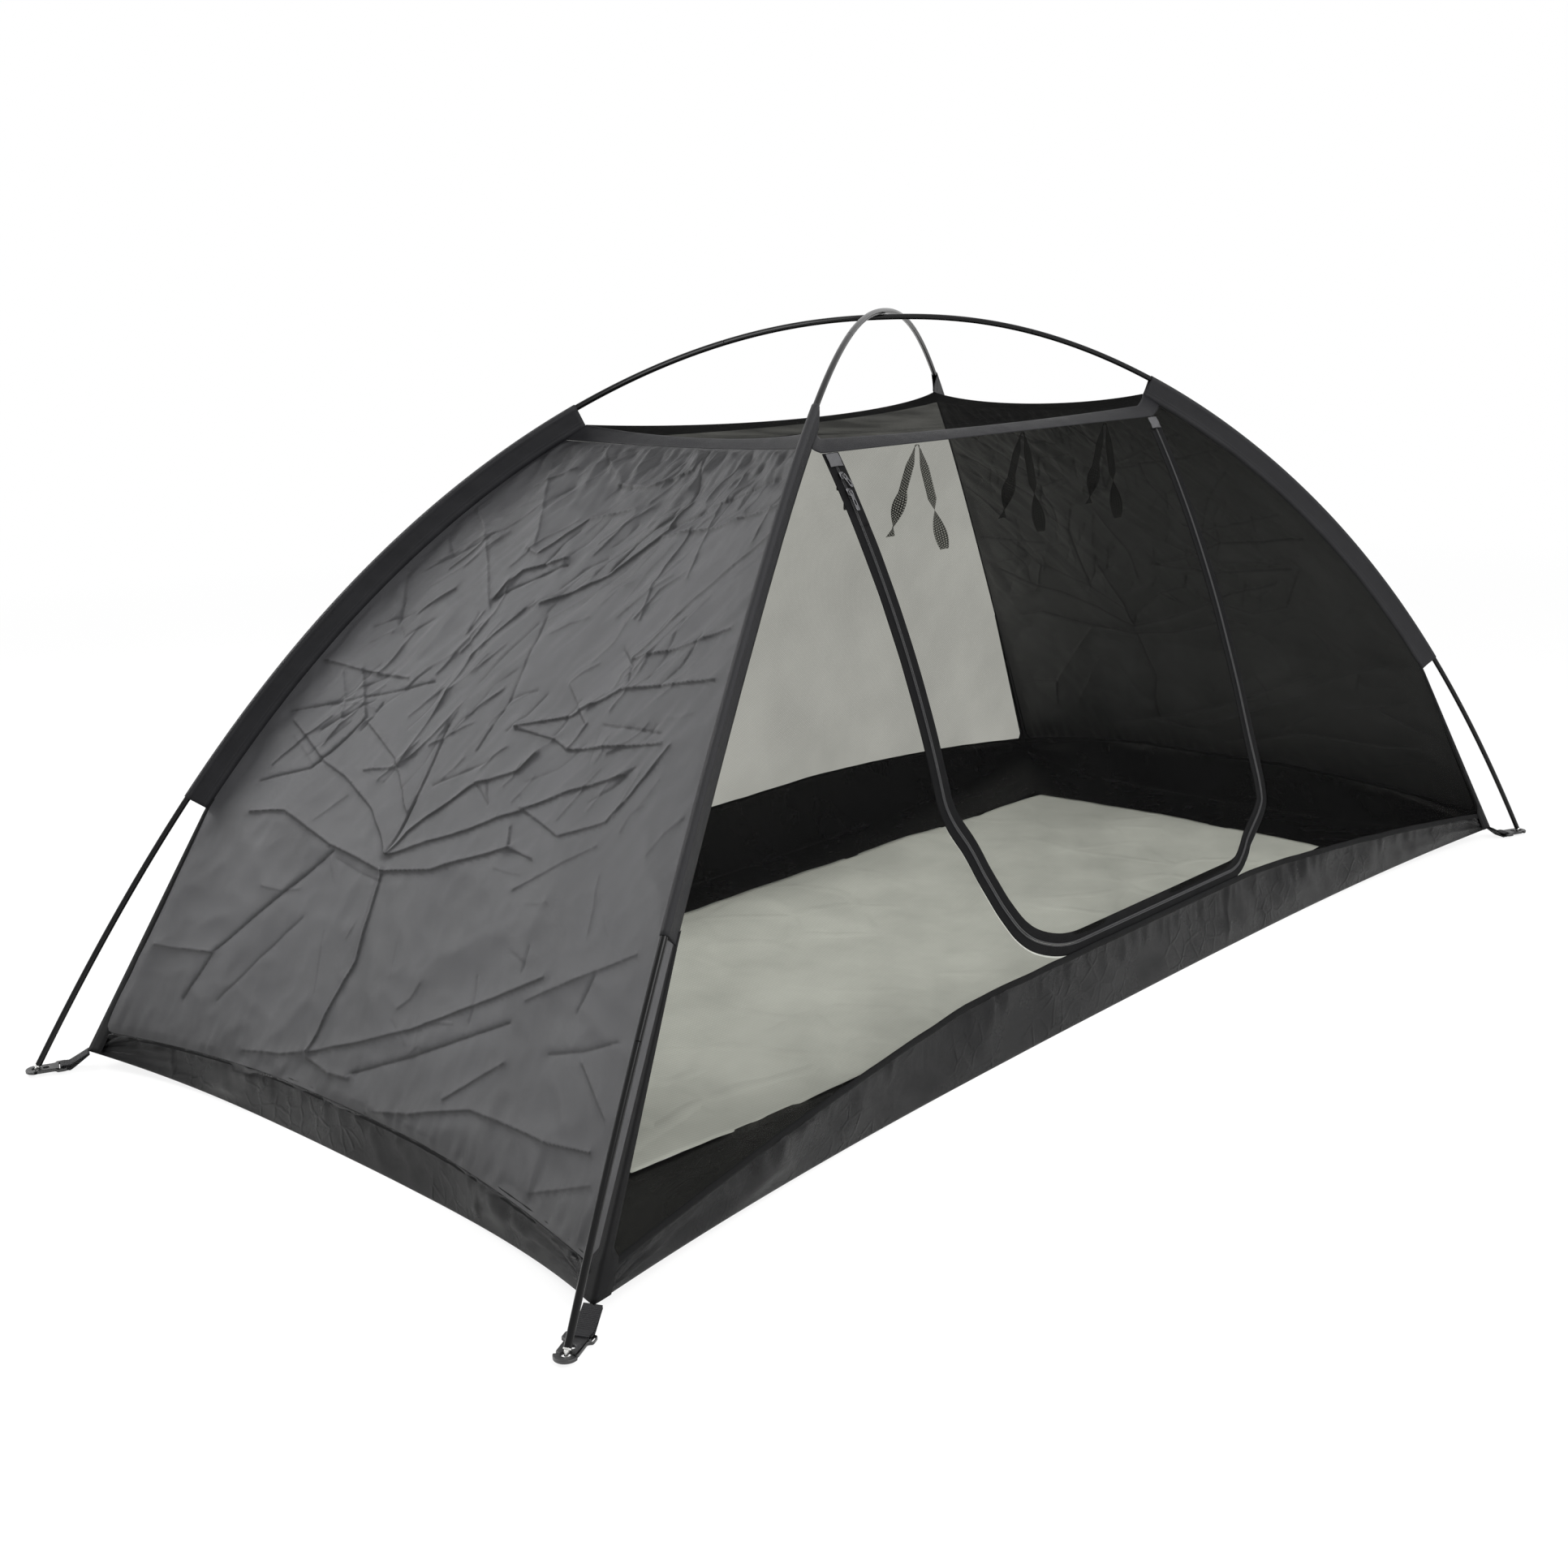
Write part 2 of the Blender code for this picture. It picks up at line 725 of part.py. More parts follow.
# Garages: small tabs of fabric over the two ends of the zip
for side, middle in (("left", door_left), ("right", door_right)):
    low = zip_coil_half_thickness + garage_gap
    corners = ((-1, low), (1, low), (1, low + garage_thickness), (-1, low + garage_thickness))
    sections = []
    for step in range(3):
        up = up_top - garage_drop - (garage_length - garage_drop) * step / 2
        sections.append([door_surface(middle + across * zip_half_width, up, out) for across, out in corners])
    name = f"zip_garage_{side}"
    add_object(name, mesh_from(name, loft(sections)), looks["fabric"])


# Sleeves: the strip's inner face follows the pole's chain, its thickness lies outside
def sleeve_sections(leg):
    radius = pole_diameter / 2 + sleeve_pole_clearance
    arc = [(radius * math.cos(math.radians(angle)), -radius * math.sin(math.radians(angle)))
           for angle in (-20, 17, 53, 90, 127, 163, 200)]
    half_gap = sleeve_leg_gap / 2
    profile = [(half_gap, sleeve_depth - seam_gap), (sleeve_waist / 2, sleeve_depth / 2)] + arc
    profile += [(-sleeve_waist / 2, sleeve_depth / 2), (-half_gap, sleeve_depth - seam_gap)]
    sections = []
    for distance in sleeve_stations(leg):
        centre, along, side, down = chain_frame(legs[leg][2], distance)
        sections.append([centre + side * across + down * depth for across, depth in profile])
    return sections


for leg in legs:
    name = f"sleeve_{leg}"
    sections = sleeve_sections(leg)
    strip = loft(sections, closed_section=False)
    strip.normal_update()
    strip.faces.ensure_lookup_table()
    crown = strip.faces[len(sections[0]) // 2]
    centre, along, side, down = chain_frame(legs[leg][2], sleeve_stations(leg)[0])
    if crown.normal.dot(down) > 0:
        bmesh.ops.reverse_faces(strip, faces=strip.faces)
    made = add_object(name, mesh_from(name, strip), looks["fabric"])
    cloth = made.modifiers.new("thickness", "SOLIDIFY")
    cloth.thickness = sleeve_thickness
    cloth.offset = 1
    cloth.use_even_offset = True


# Roof: a ring of trim strips along the walls' heads, and a net inside it
def trim_outer(wall, share):
    if wall != "front":
        return wall_point(wall, share, wall_top(wall, share))
    left = seam_at("front_left", wall_top_height)
    right = seam_at("front_right", wall_top_height)
    across = left.x + corner_gap + (right.x - left.x - 2 * corner_gap) * share
    near, seam = (zone_left, left) if across < zone_left else (zone_right, right)
    inside = zone_left <= across <= zone_right
    part = 0.0 if inside else (across - near) / (seam.x - near)
    return front_point(across, door_top_height + (wall_top_height - door_top_height) * part)


def trim_inner(wall, share):
    """The roof side of a trim strip: along the seams at its corners, low and flat in its middle."""
    corners = [seam_at(leg, trim_corner_height) for leg in wall_legs[wall]]
    inset = corner_gap / (corners[1] - corners[0]).length
    ends = [corners[0].lerp(corners[1], inset), corners[0].lerp(corners[1], 1 - inset)]
    rises = [end - trim_outer(wall, place) for end, place in zip(ends, (0, 1))]
    middle = Vector((0, 0, trim_middle_rise)) - wall_outward[wall] * trim_middle_depth
    return trim_outer(wall, share) + rises[0].lerp(rises[1], share).lerp(middle, hump(share))


trim_rings = [[], []]
for wall in wall_legs:
    for step in range(wall_columns + 1):
        trim_rings[0].append(trim_outer(wall, step / wall_columns))
        trim_rings[1].append(trim_inner(wall, step / wall_columns))
ring = bmesh.new()
rows = [[ring.verts.new(point) for point in row] for row in trim_rings]
for index in range(len(rows[0])):
    after = (index + 1) % len(rows[0])
    ring.faces.new((rows[0][index], rows[0][after], rows[1][after], rows[1][index]))
ring.normal_update()
if sum(face.normal.z for face in ring.faces) < 0:
    bmesh.ops.reverse_faces(ring, faces=ring.faces)
trim = add_object("roof_trim", mesh_from("roof_trim", ring), looks["fabric"])
trim_wall = trim.modifiers.new("thickness", "SOLIDIFY")
trim_wall.thickness = fabric_thickness
trim_wall.offset = 1


def roof_place(s, t):
    """The roof net: across from trim to trim both ways, each way counting most near its own edges."""
    front = trim_inner("front", s)
    rear = trim_inner("rear", 1 - s)
    left = trim_inner("left", 1 - t)
    right = trim_inner("right", t)
    corners = trim_inner("front", 0), trim_inner("front", 1), trim_inner("rear", 1), trim_inner("rear", 0)
    blend = front.lerp(rear, t) + left.lerp(right, s)
    blend -= corners[0].lerp(corners[1], s).lerp(corners[2].lerp(corners[3], s), t)
    weights = hump(s), hump(t)
    share = weights[0] / sum(weights) if sum(weights) > 0 else 0.5
    height = front.lerp(rear, t).z * share + left.lerp(right, s).z * (1 - share)
    shrink = 1 - roof_inset / corners[0].xy.length
    sag = 2 * seam_gap + roof_sag * hump(s) * hump(t)
    return Vector((blend.x * shrink, blend.y * shrink, height - sag))


sheet("roof_net", wall_columns, wall_rows, roof_place, Vector((0, 0, 1)), fabric_thickness, looks["net"])


# Bathtub bands: flat on the ground, folded up at the outer edge to the foot of the wall
ground_bow = {"front": ground_bow_side, "right": ground_bow_end,
              "rear": ground_bow_side, "left": ground_bow_end}
floor_corners = {leg: Vector((side_x * floor_half_length, side_y * floor_half_width, 0))
                 for leg, (side_x, side_y, pole) in legs.items()}
floor_bow = {"front": floor_bow_side, "right": floor_bow_end, "rear": floor_bow_side, "left": floor_bow_end}


def ground_edge(wall, share):
    """The fold on the ground, drawn in between the corners, which are lifted by the webbing."""
    first, second = wall_legs[wall]
    reach = abs(2 * share - 1) ** ground_bow_power
    point = body_corner(first).lerp(body_corner(second), share)
    point -= wall_outward[wall] * (ground_bow[wall] * (1 - reach))
    point.z = body_corner_height * reach
    return point


def floor_edge(wall, share, gap=0.0):
    first, second = wall_legs[wall]
    point = floor_corners[first].lerp(floor_corners[second], share)
    return point + wall_outward[wall] * (floor_bow[wall] * hump(share) + gap)


def band_place(wall):
    def place(s, t):
        first, second = wall_legs[wall]
        length = (body_corner(second) - body_corner(first)).length
        inset = band_corner_gap / length
        part = inset + s * (1 - 2 * inset)
        inner = floor_edge(wall, part, seam_gap)
        fold = ground_edge(wall, part)
        if wall == "front":
            left = seam_at("front_left", wall_foot_height)
            right = seam_at("front_right", wall_foot_height)
            across = left.x + (right.x - left.x) * part
            top = front_point(across, band_top(wall, part))
        else:
            top = wall_point(wall, s, band_top(wall, s))
        if t <= 0.5:
            return inner.lerp(fold, t * 2)
        return fold.lerp(top, t * 2 - 1)
    return place


for wall in wall_legs:
    sheet(f"band_{wall}", wall_columns, 4, band_place(wall), wall_outward[wall] - Vector((0, 0, 1)),
          fabric_thickness, looks["band"])


def floor_place(s, t):
    """The groundsheet, its edges bowed out a little."""
    front = floor_edge("front", s, -seam_gap)
    rear = floor_edge("rear", 1 - s, -seam_gap)
    side = (floor_bow_end * hump(t) - seam_gap) * (2 * s - 1)
    point = front.lerp(rear, t)
    return Vector((point.x + side, point.y, 0))


sheet("groundsheet", 12, 8, floor_place, Vector((0, 0, -1)), floor_thickness, looks["floor"])


# Anchor plates: moulded, a round nose with two holes, a wide head with a slot for the webbing
def plate_frame(leg):
    """Origin at the pole's tip hole on the plate's underside, X inwards along the diagonal."""
    foot, up = foot_frame(leg)
    inward = Vector((-foot.x, -foot.y, 0)).normalized()
    side = Vector((0, 0, 1)).cross(inward)
    through = foot + up * ((plate_lift + plate_thickness / 2) / up.z)
    turn = Matrix((inward, side, Vector((0, 0, 1)))).transposed().to_4x4()
    return Matrix.Translation((through.x, through.y, plate_lift)) @ turn


def plate_outline():
    """Half-width of the plate at places along it, from the nose to the head."""
    nose = [(-plate_nose_radius * math.cos(angle), plate_nose_radius * math.sin(angle))
            for angle in (math.radians(degrees) for degrees in (12, 36, 60, 84))]
    head_start = plate_length - plate_nose_radius - plate_head_length
    head_end = plate_length - plate_nose_radius
    head_half = plate_head_width / 2
    round_off = plate_head_length / 6
    return nose + [(head_start - round_off, plate_nose_radius), (head_start, head_half - round_off),
                   (head_start + round_off, head_half), (head_end - round_off, head_half),
                   (head_end, head_half - round_off)]


slot_centre = plate_length - plate_nose_radius - plate_bar - plate_slot_length / 2
for leg in legs:
    half = plate_outline()
    outline = half + [(x, -y) for x, y in reversed(half)]
    curve = bpy.data.curves.new("plate", "CURVE")
    curve.dimensions = "2D"
    curve.fill_mode = "BOTH"
    curve.extrude = plate_thickness / 2
    spline = curve.splines.new("POLY")
    spline.points.add(len(outline) - 1)
    for control, (x, y) in zip(spline.points, outline):
        control.co = (x, y, 0, 1.0)
    spline.use_cyclic_u = True
    holder = bpy.data.objects.new("plate", curve)
    tent.objects.link(holder)
    bpy.context.view_layer.update()
    flat = bpy.data.meshes.new_from_object(holder.evaluated_get(bpy.context.evaluated_depsgraph_get()))
    bpy.data.objects.remove(holder)
    base = bmesh.new()
    base.from_mesh(flat)
    bmesh.ops.remove_doubles(base, verts=base.verts, dist=merge_distance)
    bmesh.ops.translate(base, vec=(0, 0, plate_thickness / 2), verts=base.verts)
    bmesh.ops.recalc_face_normals(base, faces=base.faces)
    drill = plate_thickness + 2 * cut_overrun
    middle = plate_thickness / 2
    steps = [
        ("DIFFERENCE", rod(plate_tip_hole / 2, drill, (0, 0, middle), (0, 0, 1))),
        ("DIFFERENCE", rod(plate_spare_hole / 2, drill, (plate_spare_step, 0, middle), (0, 0, 1))),
        ("DIFFERENCE", block((plate_slot_length, plate_slot_width, drill), (slot_centre, 0, middle))),
    ]
    combine(f"anchor_plate_{leg}", base, steps, looks["plate"], plate_frame(leg))


# Webbing: a loop round the plate's bar, both ends sewn to the body's corner
def webbing_sections(leg):
    frame = plate_frame(leg)
    inward = frame.to_3x3() @ Vector((1, 0, 0))
    side = frame.to_3x3() @ Vector((0, 1, 0))
    start = frame @ Vector((slot_centre, 0, plate_thickness / 2))
    corner = body_corner(leg)
    head_end = plate_length - plate_nose_radius
    wrap_low = frame @ Vector((slot_centre, 0, -webbing_clearance))
    wrap_high = frame @ Vector((slot_centre, 0, plate_thickness + webbing_clearance))
    past_low = frame @ Vector((head_end + webbing_clearance * 2, 0, -webbing_clearance))
    past_high = frame @ Vector((head_end + webbing_clearance * 2, 0, plate_thickness + webbing_clearance))
    half = webbing_thickness / 2
    top_join = corner + Vector((0, 0, half + webbing_clearance / 2))
    low_join = corner - Vector((0, 0, half + webbing_clearance / 2))
    centre_line = [top_join, past_high + Vector((0, 0, half)), wrap_high + Vector((0, 0, half)),
                   start - inward * half, wrap_low - Vector((0, 0, half)), past_low - Vector((0, 0, half)),
                   low_join]
    sections = []
    for index, point in enumerate(centre_line):
        before = centre_line[max(index - 1, 0)]
        after = centre_line[min(index + 1, len(centre_line) - 1)]
        run = (after - before).normalized()
        normal = run.cross(side).normalized()
        sections.append([point + side * across + normal * out for across, out in
                         ((-webbing_width / 2, -half), (webbing_width / 2, -half),
                          (webbing_width / 2, half), (-webbing_width / 2, half))])
    return sections


for leg in legs:
    name = f"webbing_{leg}"
    add_object(name, mesh_from(name, loft(webbing_sections(leg))), looks["webbing"])


# Zip sliders: two plates and a thin web between the coils, with a bail on each face
def slider_frame(drop):
    """X across, Y up along the arc, Z outwards, at a drop below the door's head."""
    up = up_top - drop
    angle = up / arc_radius
    across = Vector((1, 0, 0))
    outwards = Vector((0, -math.cos(angle), math.sin(angle)))
    upwards = outwards.cross(across)
    turn = Matrix((across, upwards, outwards)).transposed().to_4x4()
    return Matrix.Translation(door_surface(door_left, up)) @ turn


slider_drops = {"upper": slider_first_drop, "lower": slider_first_drop + slider_pitch}
plate_middle = slider_channel / 2 + slider_plate / 2
bail_base = slider_channel / 2 + slider_plate
bail_axis = bail_base + bail_height / 2
for place, drop in slider_drops.items():
    steps = [
        ("UNION", block((slider_width, slider_length, slider_plate), (0, 0, -plate_middle))),
        ("UNION", block((slider_web, slider_length, slider_channel + slider_plate), (0, 0, 0))),
    ]
    for face in (1, -1):
        bail_sunk = slider_plate / 2
        size = (bail_width, bail_length, bail_height + bail_sunk)
        steps.append(("UNION", block(size, (0, 0, face * (bail_base + (bail_height - bail_sunk) / 2)))))
        hole = rod(bail_hole / 2, bail_width + 2 * cut_overrun, (0, 0, face * bail_axis), (1, 0, 0), 8)
        steps.append(("DIFFERENCE", hole))
    base = block((slider_width, slider_length, slider_plate), (0, 0, plate_middle))
    combine(f"zip_slider_{place}", base, steps, looks["metal"], slider_frame(drop))


def zip_pull(name, length, place):
    """A flat pull on its pin: window for the bail, then an oval hole. Y runs up, the pin is at 0."""
    head_reach = pull_pin_diameter / 2
    middle = (head_reach - length) / 2
    base = block((pull_width, length + head_reach, pull_thickness), (0, middle, 0))
    window_top = -pull_pin_diameter / 2
    window = block((pull_window_width, pull_window_length, pull_thickness + 2 * cut_overrun),
                   (0, window_top - pull_window_length / 2, 0))
    hole_middle = (window_top - pull_window_length - length) / 2
    hole = block((pull_hole_width, pull_hole_length, pull_thickness + 2 * cut_overrun), (0, hole_middle, 0))
    combine(name, base, [("DIFFERENCE", window), ("DIFFERENCE", hole)], looks["metal"], place)


for place, drop in slider_drops.items():
    frame = slider_frame(drop)
    turn = math.radians(upper_pull_turn_degrees) if place == "upper" else 0.0
    outer = frame @ Matrix.Translation((0, 0, bail_axis)) @ Matrix.Rotation(turn, 4, "Z")
    zip_pull(f"zip_pull_{place}_outer", pull_lengths[place + "_outer"], outer)
    hinge = frame @ Vector((0, 0, -bail_axis))
    upright = Matrix(((1, 0, 0), (0, 0, -1), (0, 1, 0))).to_4x4()
    zip_pull(f"zip_pull_{place}_inner", pull_lengths[place + "_inner"], Matrix.Translation(hinge) @ upright)


# Tie tapes: a ribbon pinched by its stitch, each tail turned flat, edge on and flat again
def tie_hinge(across):
    """The middle of a tie tape's stitch, just inside the door head."""
    top = door_surface(across, up_top)
    return Vector((top.x, top.y + tie_pinch_width / 2, top.z - tie_pinch_width / 2 - tie_gap))


def tie_tail(top, lean, side):
    """Sections of one tail, from its stitch to its free end."""
    sign = -1 if side == "left" else 1
    sections = []
    for step in range(1, tie_steps + 1):
        part = step / tie_steps
        centre = top + Vector((sign * (tie_spread + lean * part), 0, -tie_tail_lengths[side] * part))
        opened = min(part / tie_opening, 1.0)
        width = tie_pinch_width + (tie_width - tie_pinch_width) * opened
        angle = math.pi * (max(2 * part - 1, 0.0) * sign + (1 - opened) / 2)
        flat = Vector((math.cos(angle), math.sin(angle), 0)) * width / 2
        deep = Vector((math.sin(angle), -math.cos(angle), 0)) * sign * tie_thickness / 2
        sections.append((centre, flat, deep))
    return sections


for index, (across, lean) in enumerate(zip(tie_places, tie_leans)):
    stitch = tie_hinge(across)
    pinch = Vector((0, tie_pinch_width / 2, 0))
    fold = []
    for sign, deep in ((-1, (-1, 0, 0)), (0, (0, 0, 1)), (1, (1, 0, 0))):
        drop = -tie_pinch_width * abs(sign)
        fold.append((stitch + Vector((sign * tie_spread, 0, drop)), pinch, Vector(deep) * tie_thickness / 2))
    line = tie_tail(stitch, lean, "left")[::-1] + fold + tie_tail(stitch, lean, "right")
    sections = []
    for centre, flat, deep in line:
        sections.append([centre - flat - deep, centre + flat - deep,
                         centre + flat + deep, centre - flat + deep])
    add_object(f"tie_tape_{index + 1}", mesh_from("tie_tape", loft(sections, twisted=True)), looks["net"])


# Joint origins: each moving piece has its object's origin on its joint's axis
def set_origin(name, point):
    made = bpy.data.objects[name]
    shift = Matrix.Translation(-Vector(point))
    made.data.transform(shift @ made.matrix_world)
    made.matrix_world = Matrix.Translation(point)


door_hinge = door_surface(0, up_top)
for name in ("door_net", "zip_door_side"):
    set_origin(name, door_hinge)
set_origin("zip_slider_lower", (door_left, -arc_centre.x, arc_centre.y))
for index, across in enumerate(tie_places):
    set_origin(f"tie_tape_{index + 1}", tie_hinge(across))
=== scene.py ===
"""The look of a mosquito net tent for one person: two crossed poles in fabric sleeves carry a net body
with solid end walls, a bathtub floor and a zipped door. Metres, +Z up, door towards -Y.
"""

import math
import random

import bmesh
import bpy
import numpy as np
from mathutils import Matrix, Vector, noise


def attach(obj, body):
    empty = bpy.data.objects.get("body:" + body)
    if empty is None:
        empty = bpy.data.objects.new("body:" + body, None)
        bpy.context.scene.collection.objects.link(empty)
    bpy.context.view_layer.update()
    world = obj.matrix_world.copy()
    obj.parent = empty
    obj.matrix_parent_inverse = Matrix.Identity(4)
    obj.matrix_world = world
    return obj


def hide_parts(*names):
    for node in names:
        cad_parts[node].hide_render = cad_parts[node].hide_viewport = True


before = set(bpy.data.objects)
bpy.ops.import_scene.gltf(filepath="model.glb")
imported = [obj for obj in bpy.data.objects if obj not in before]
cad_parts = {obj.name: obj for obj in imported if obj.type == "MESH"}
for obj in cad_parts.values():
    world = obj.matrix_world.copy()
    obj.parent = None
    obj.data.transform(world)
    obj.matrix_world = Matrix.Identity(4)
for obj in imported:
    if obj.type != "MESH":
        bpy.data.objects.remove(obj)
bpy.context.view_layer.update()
bpy.ops.object.select_all(action="DESELECT")
scene = bpy.context.scene
scene.view_settings.view_transform = "Standard"
X, Z = Vector((1, 0, 0)), Vector((0, 0, 1))

# The view: a camera standing to the front left, a little above the tent, looking down at it.
# The floor and the backdrop are one pale studio sweep without an edge.
camera_place = Vector((-2.0571, -1.7052, 0.9297))
camera_turn, camera_dip, camera_roll = 0.8198, 0.2523, -0.0270
camera = bpy.data.cameras.new("camera")
camera.lens, camera.sensor_width = 42.58, 36.0
camera_holder = bpy.data.objects.new("camera", camera)
scene.collection.objects.link(camera_holder)
ahead = Vector((math.sin(camera_turn) * math.cos(camera_dip), math.cos(camera_turn) * math.cos(camera_dip),
                -math.sin(camera_dip)))
level = Vector((math.cos(camera_turn), -math.sin(camera_turn), 0))
over = level.cross(ahead)
right = level * math.cos(camera_roll) + over * math.sin(camera_roll)
upward = over * math.cos(camera_roll) - level * math.sin(camera_roll)
camera_axes = Matrix((right, upward, -ahead)).transposed().to_4x4()
camera_holder.matrix_world = Matrix.Translation(camera_place) @ camera_axes
scene.camera = camera_holder


def linear(code):
    """A colour written as sRGB hex, as linear red, green, blue and alpha."""
    parts = [int(code[start:start + 2], 16) / 255 for start in (1, 3, 5)]
    return (*[part / 12.92 if part <= 0.04045 else ((part + 0.055) / 1.055) ** 2.4 for part in parts], 1.0)


def add_node(tree, kind, inputs=None, **settings):
    """Add a node with its settings. An input is a value, or a node or socket that is linked to it."""
    made = tree.nodes.new("ShaderNode" + kind)
    for name, value in settings.items():
        setattr(made, name, value)
    for socket, value in (inputs or {}).items():
        source = value.outputs[0] if isinstance(value, bpy.types.Node) else value
        if isinstance(source, bpy.types.NodeSocket):
            tree.links.new(source, made.inputs[socket])
        else:
            made.inputs[socket].default_value = source
    return made


def new_material(name):
    """An empty node material and its tree."""
    made = bpy.data.materials.new(name)
    made.use_nodes = True
    made.node_tree.nodes.clear()
    return made, made.node_tree


paper, tree = new_material("studio_paper")
matt = add_node(tree, "BsdfDiffuse", {"Color": linear("#F8F8F7")})
glow = add_node(tree, "Emission", {"Color": linear("#FFFFFF"), "Strength": 1.0})
reach = add_node(tree, "VectorMath", {0: add_node(tree, "TexCoord").outputs["Object"]}, operation="LENGTH")
reach = add_node(tree, "MapRange", {"From Min": 1.6, "From Max": 5.0, "To Min": 0.86, "To Max": 1.0,
                                    "Value": reach.outputs["Value"]})
share = add_node(tree, "Math", {0: reach, 1: add_node(tree, "LightPath").outputs["Is Camera Ray"]},
                 operation="MULTIPLY")
add_node(tree, "OutputMaterial", {"Surface": add_node(tree, "MixShader", {0: share, 1: matt, 2: glow})})
bpy.ops.mesh.primitive_plane_add(size=60, location=(0, 0, 0))
ground = bpy.context.object
ground.name = "studio_ground"
ground.data.materials.append(paper)

scene.world = bpy.data.worlds.new("studio")
scene.world.use_nodes = True
tree = scene.world.node_tree
tree.nodes.clear()
seen = add_node(tree, "LightPath").outputs
straight = add_node(tree, "Math", {0: seen["Is Camera Ray"], 1: seen["Is Glossy Ray"]}, operation="MAXIMUM")
through = add_node(tree, "Math", {0: straight, 1: seen["Is Transmission Ray"]}, operation="MAXIMUM")
soft, white = (add_node(tree, "Background", {"Color": linear("#FFFFFF"), "Strength": strength})
               for strength in (0.60, 1.0))
add_node(tree, "OutputWorld", {"Surface": add_node(tree, "MixShader", {0: through, 1: soft, 2: white})})

# Light: one large soft box behind the left end wall, whose satin it grazes, and one in front of the door.
for name, place, target, size, power in (("key_box", (-1.6, 2.6, 2.4), (-0.7, 0, 0.4), 1.4, 110.0),
                                         ("door_box", (-0.3, -2.9, 2.8), (0, 0, 0.1), 3.0, 190.0)):
    lamp = bpy.data.lights.new(name, "AREA")
    lamp.shape = "SQUARE"
    lamp.size, lamp.energy = size, power
    holder = bpy.data.objects.new(name, lamp)
    scene.collection.objects.link(holder)
    facing = (Vector(target) - Vector(place)).to_track_quat("-Z", "Y").to_matrix().to_4x4()
    holder.matrix_world = Matrix.Translation(place) @ facing

# Poles: pultruded glass fibre tube, black, 7.9 mm, in seven sections that meet flush end to end.
# Each pole is one springy curve from foot to foot over the crossing; a shock cord runs inside.
foot_spacing_x, foot_spacing_y, apex_height = 2.2, 1.036, 0.915
pole_curve_power = 2.25
pole_sway = {"a": (0.0214, 0.0266), "b": (0.0413, -0.0048)}
pole_diameter, pole_bore, pole_sides = 0.0079, 0.0052, 28
foot_section_length, middle_sections, section_gap = 0.30, 5, 0.0003
tip_length = 0.0138
legs = {"front_left": (-1, -1, "b"), "front_right": (1, -1, "a"),
        "rear_right": (1, 1, "b"), "rear_left": (-1, 1, "a")}
pole_feet = {"a": ("rear_left", "front_right"), "b": ("front_left", "rear_right")}


def pole_point(leg, share):
    """A point of a leg, from its foot (share 1) to the crossing (share 0)."""
    side_x, side_y, pole = legs[leg]
    foot = Vector((side_x * foot_spacing_x / 2, side_y * foot_spacing_y / 2, 0))
    across = Vector((-foot.y, foot.x, 0)).normalized()
    single, double = pole_sway[pole]
    sway = single * math.sin(math.pi * share) + double * math.sin(2 * math.pi * share)
    half_step = (pole_diameter + section_gap) / 2
    top = apex_height + (half_step if pole == "b" else -half_step)
    return foot * share + across * sway + Vector((0, 0, top * (1 - share ** pole_curve_power)))


def lengths_along(points):
    """Distances along a line of points, from its first one."""
    steps = np.linalg.norm(np.diff(points, axis=0), axis=1)
    return np.concatenate([[0.0], np.cumsum(steps)])


pole_lines, pole_totals, leg_lengths = {}, {}, {}
half_steps = 300
for pole, (first, second) in pole_feet.items():
    shares = np.linspace(1, 0, half_steps + 1)
    points = [pole_point(first, share) for share in shares]
    points = np.array(points + [pole_point(second, share) for share in shares[-2::-1]])
    distances = lengths_along(points)
    pole_lines[pole], pole_totals[pole] = (distances, points), distances[-1]
    leg_lengths[first] = distances[half_steps]
    leg_lengths[second] = distances[-1] - distances[half_steps]


def pole_place(pole, distance):
    distances, points = pole_lines[pole]
    return Vector([np.interp(distance, distances, points[:, axis]) for axis in range(3)])


def pole_frame(pole, distance):
    """Point of a pole, its direction, and the two directions square to it: sideways and down."""
    before, after = max(distance - 0.004, 0), min(distance + 0.004, pole_totals[pole])
    along = (pole_place(pole, after) - pole_place(pole, before)).normalized()
    down = (along * along.z - Z).normalized()
    return pole_place(pole, distance), along, along.cross(down).normalized(), down


def leg_frame(leg, distance):
    """The same at a distance from the foot of a leg."""
    pole = legs[leg][2]
    return pole_frame(pole, distance if pole_feet[pole][0] == leg else pole_totals[pole] - distance)


def leg_rise(leg):
    """The direction in which a leg leaves the ground."""
    along = leg_frame(leg, 0.0)[1]
    return along if along.z > 0 else -along


def pole_ring(pole, distance, radius, sides):
    """A ring of points square to a pole."""
    centre, along, side, down = pole_frame(pole, distance)
    angles = [2 * math.pi * corner / sides for corner in range(sides)]
    return [centre + (side * math.cos(angle) + down * math.sin(angle)) * radius for angle in angles]


def link_mesh(mesh):
    made = bpy.data.objects.new(mesh.name, mesh)
    scene.collection.objects.link(made)
    return made


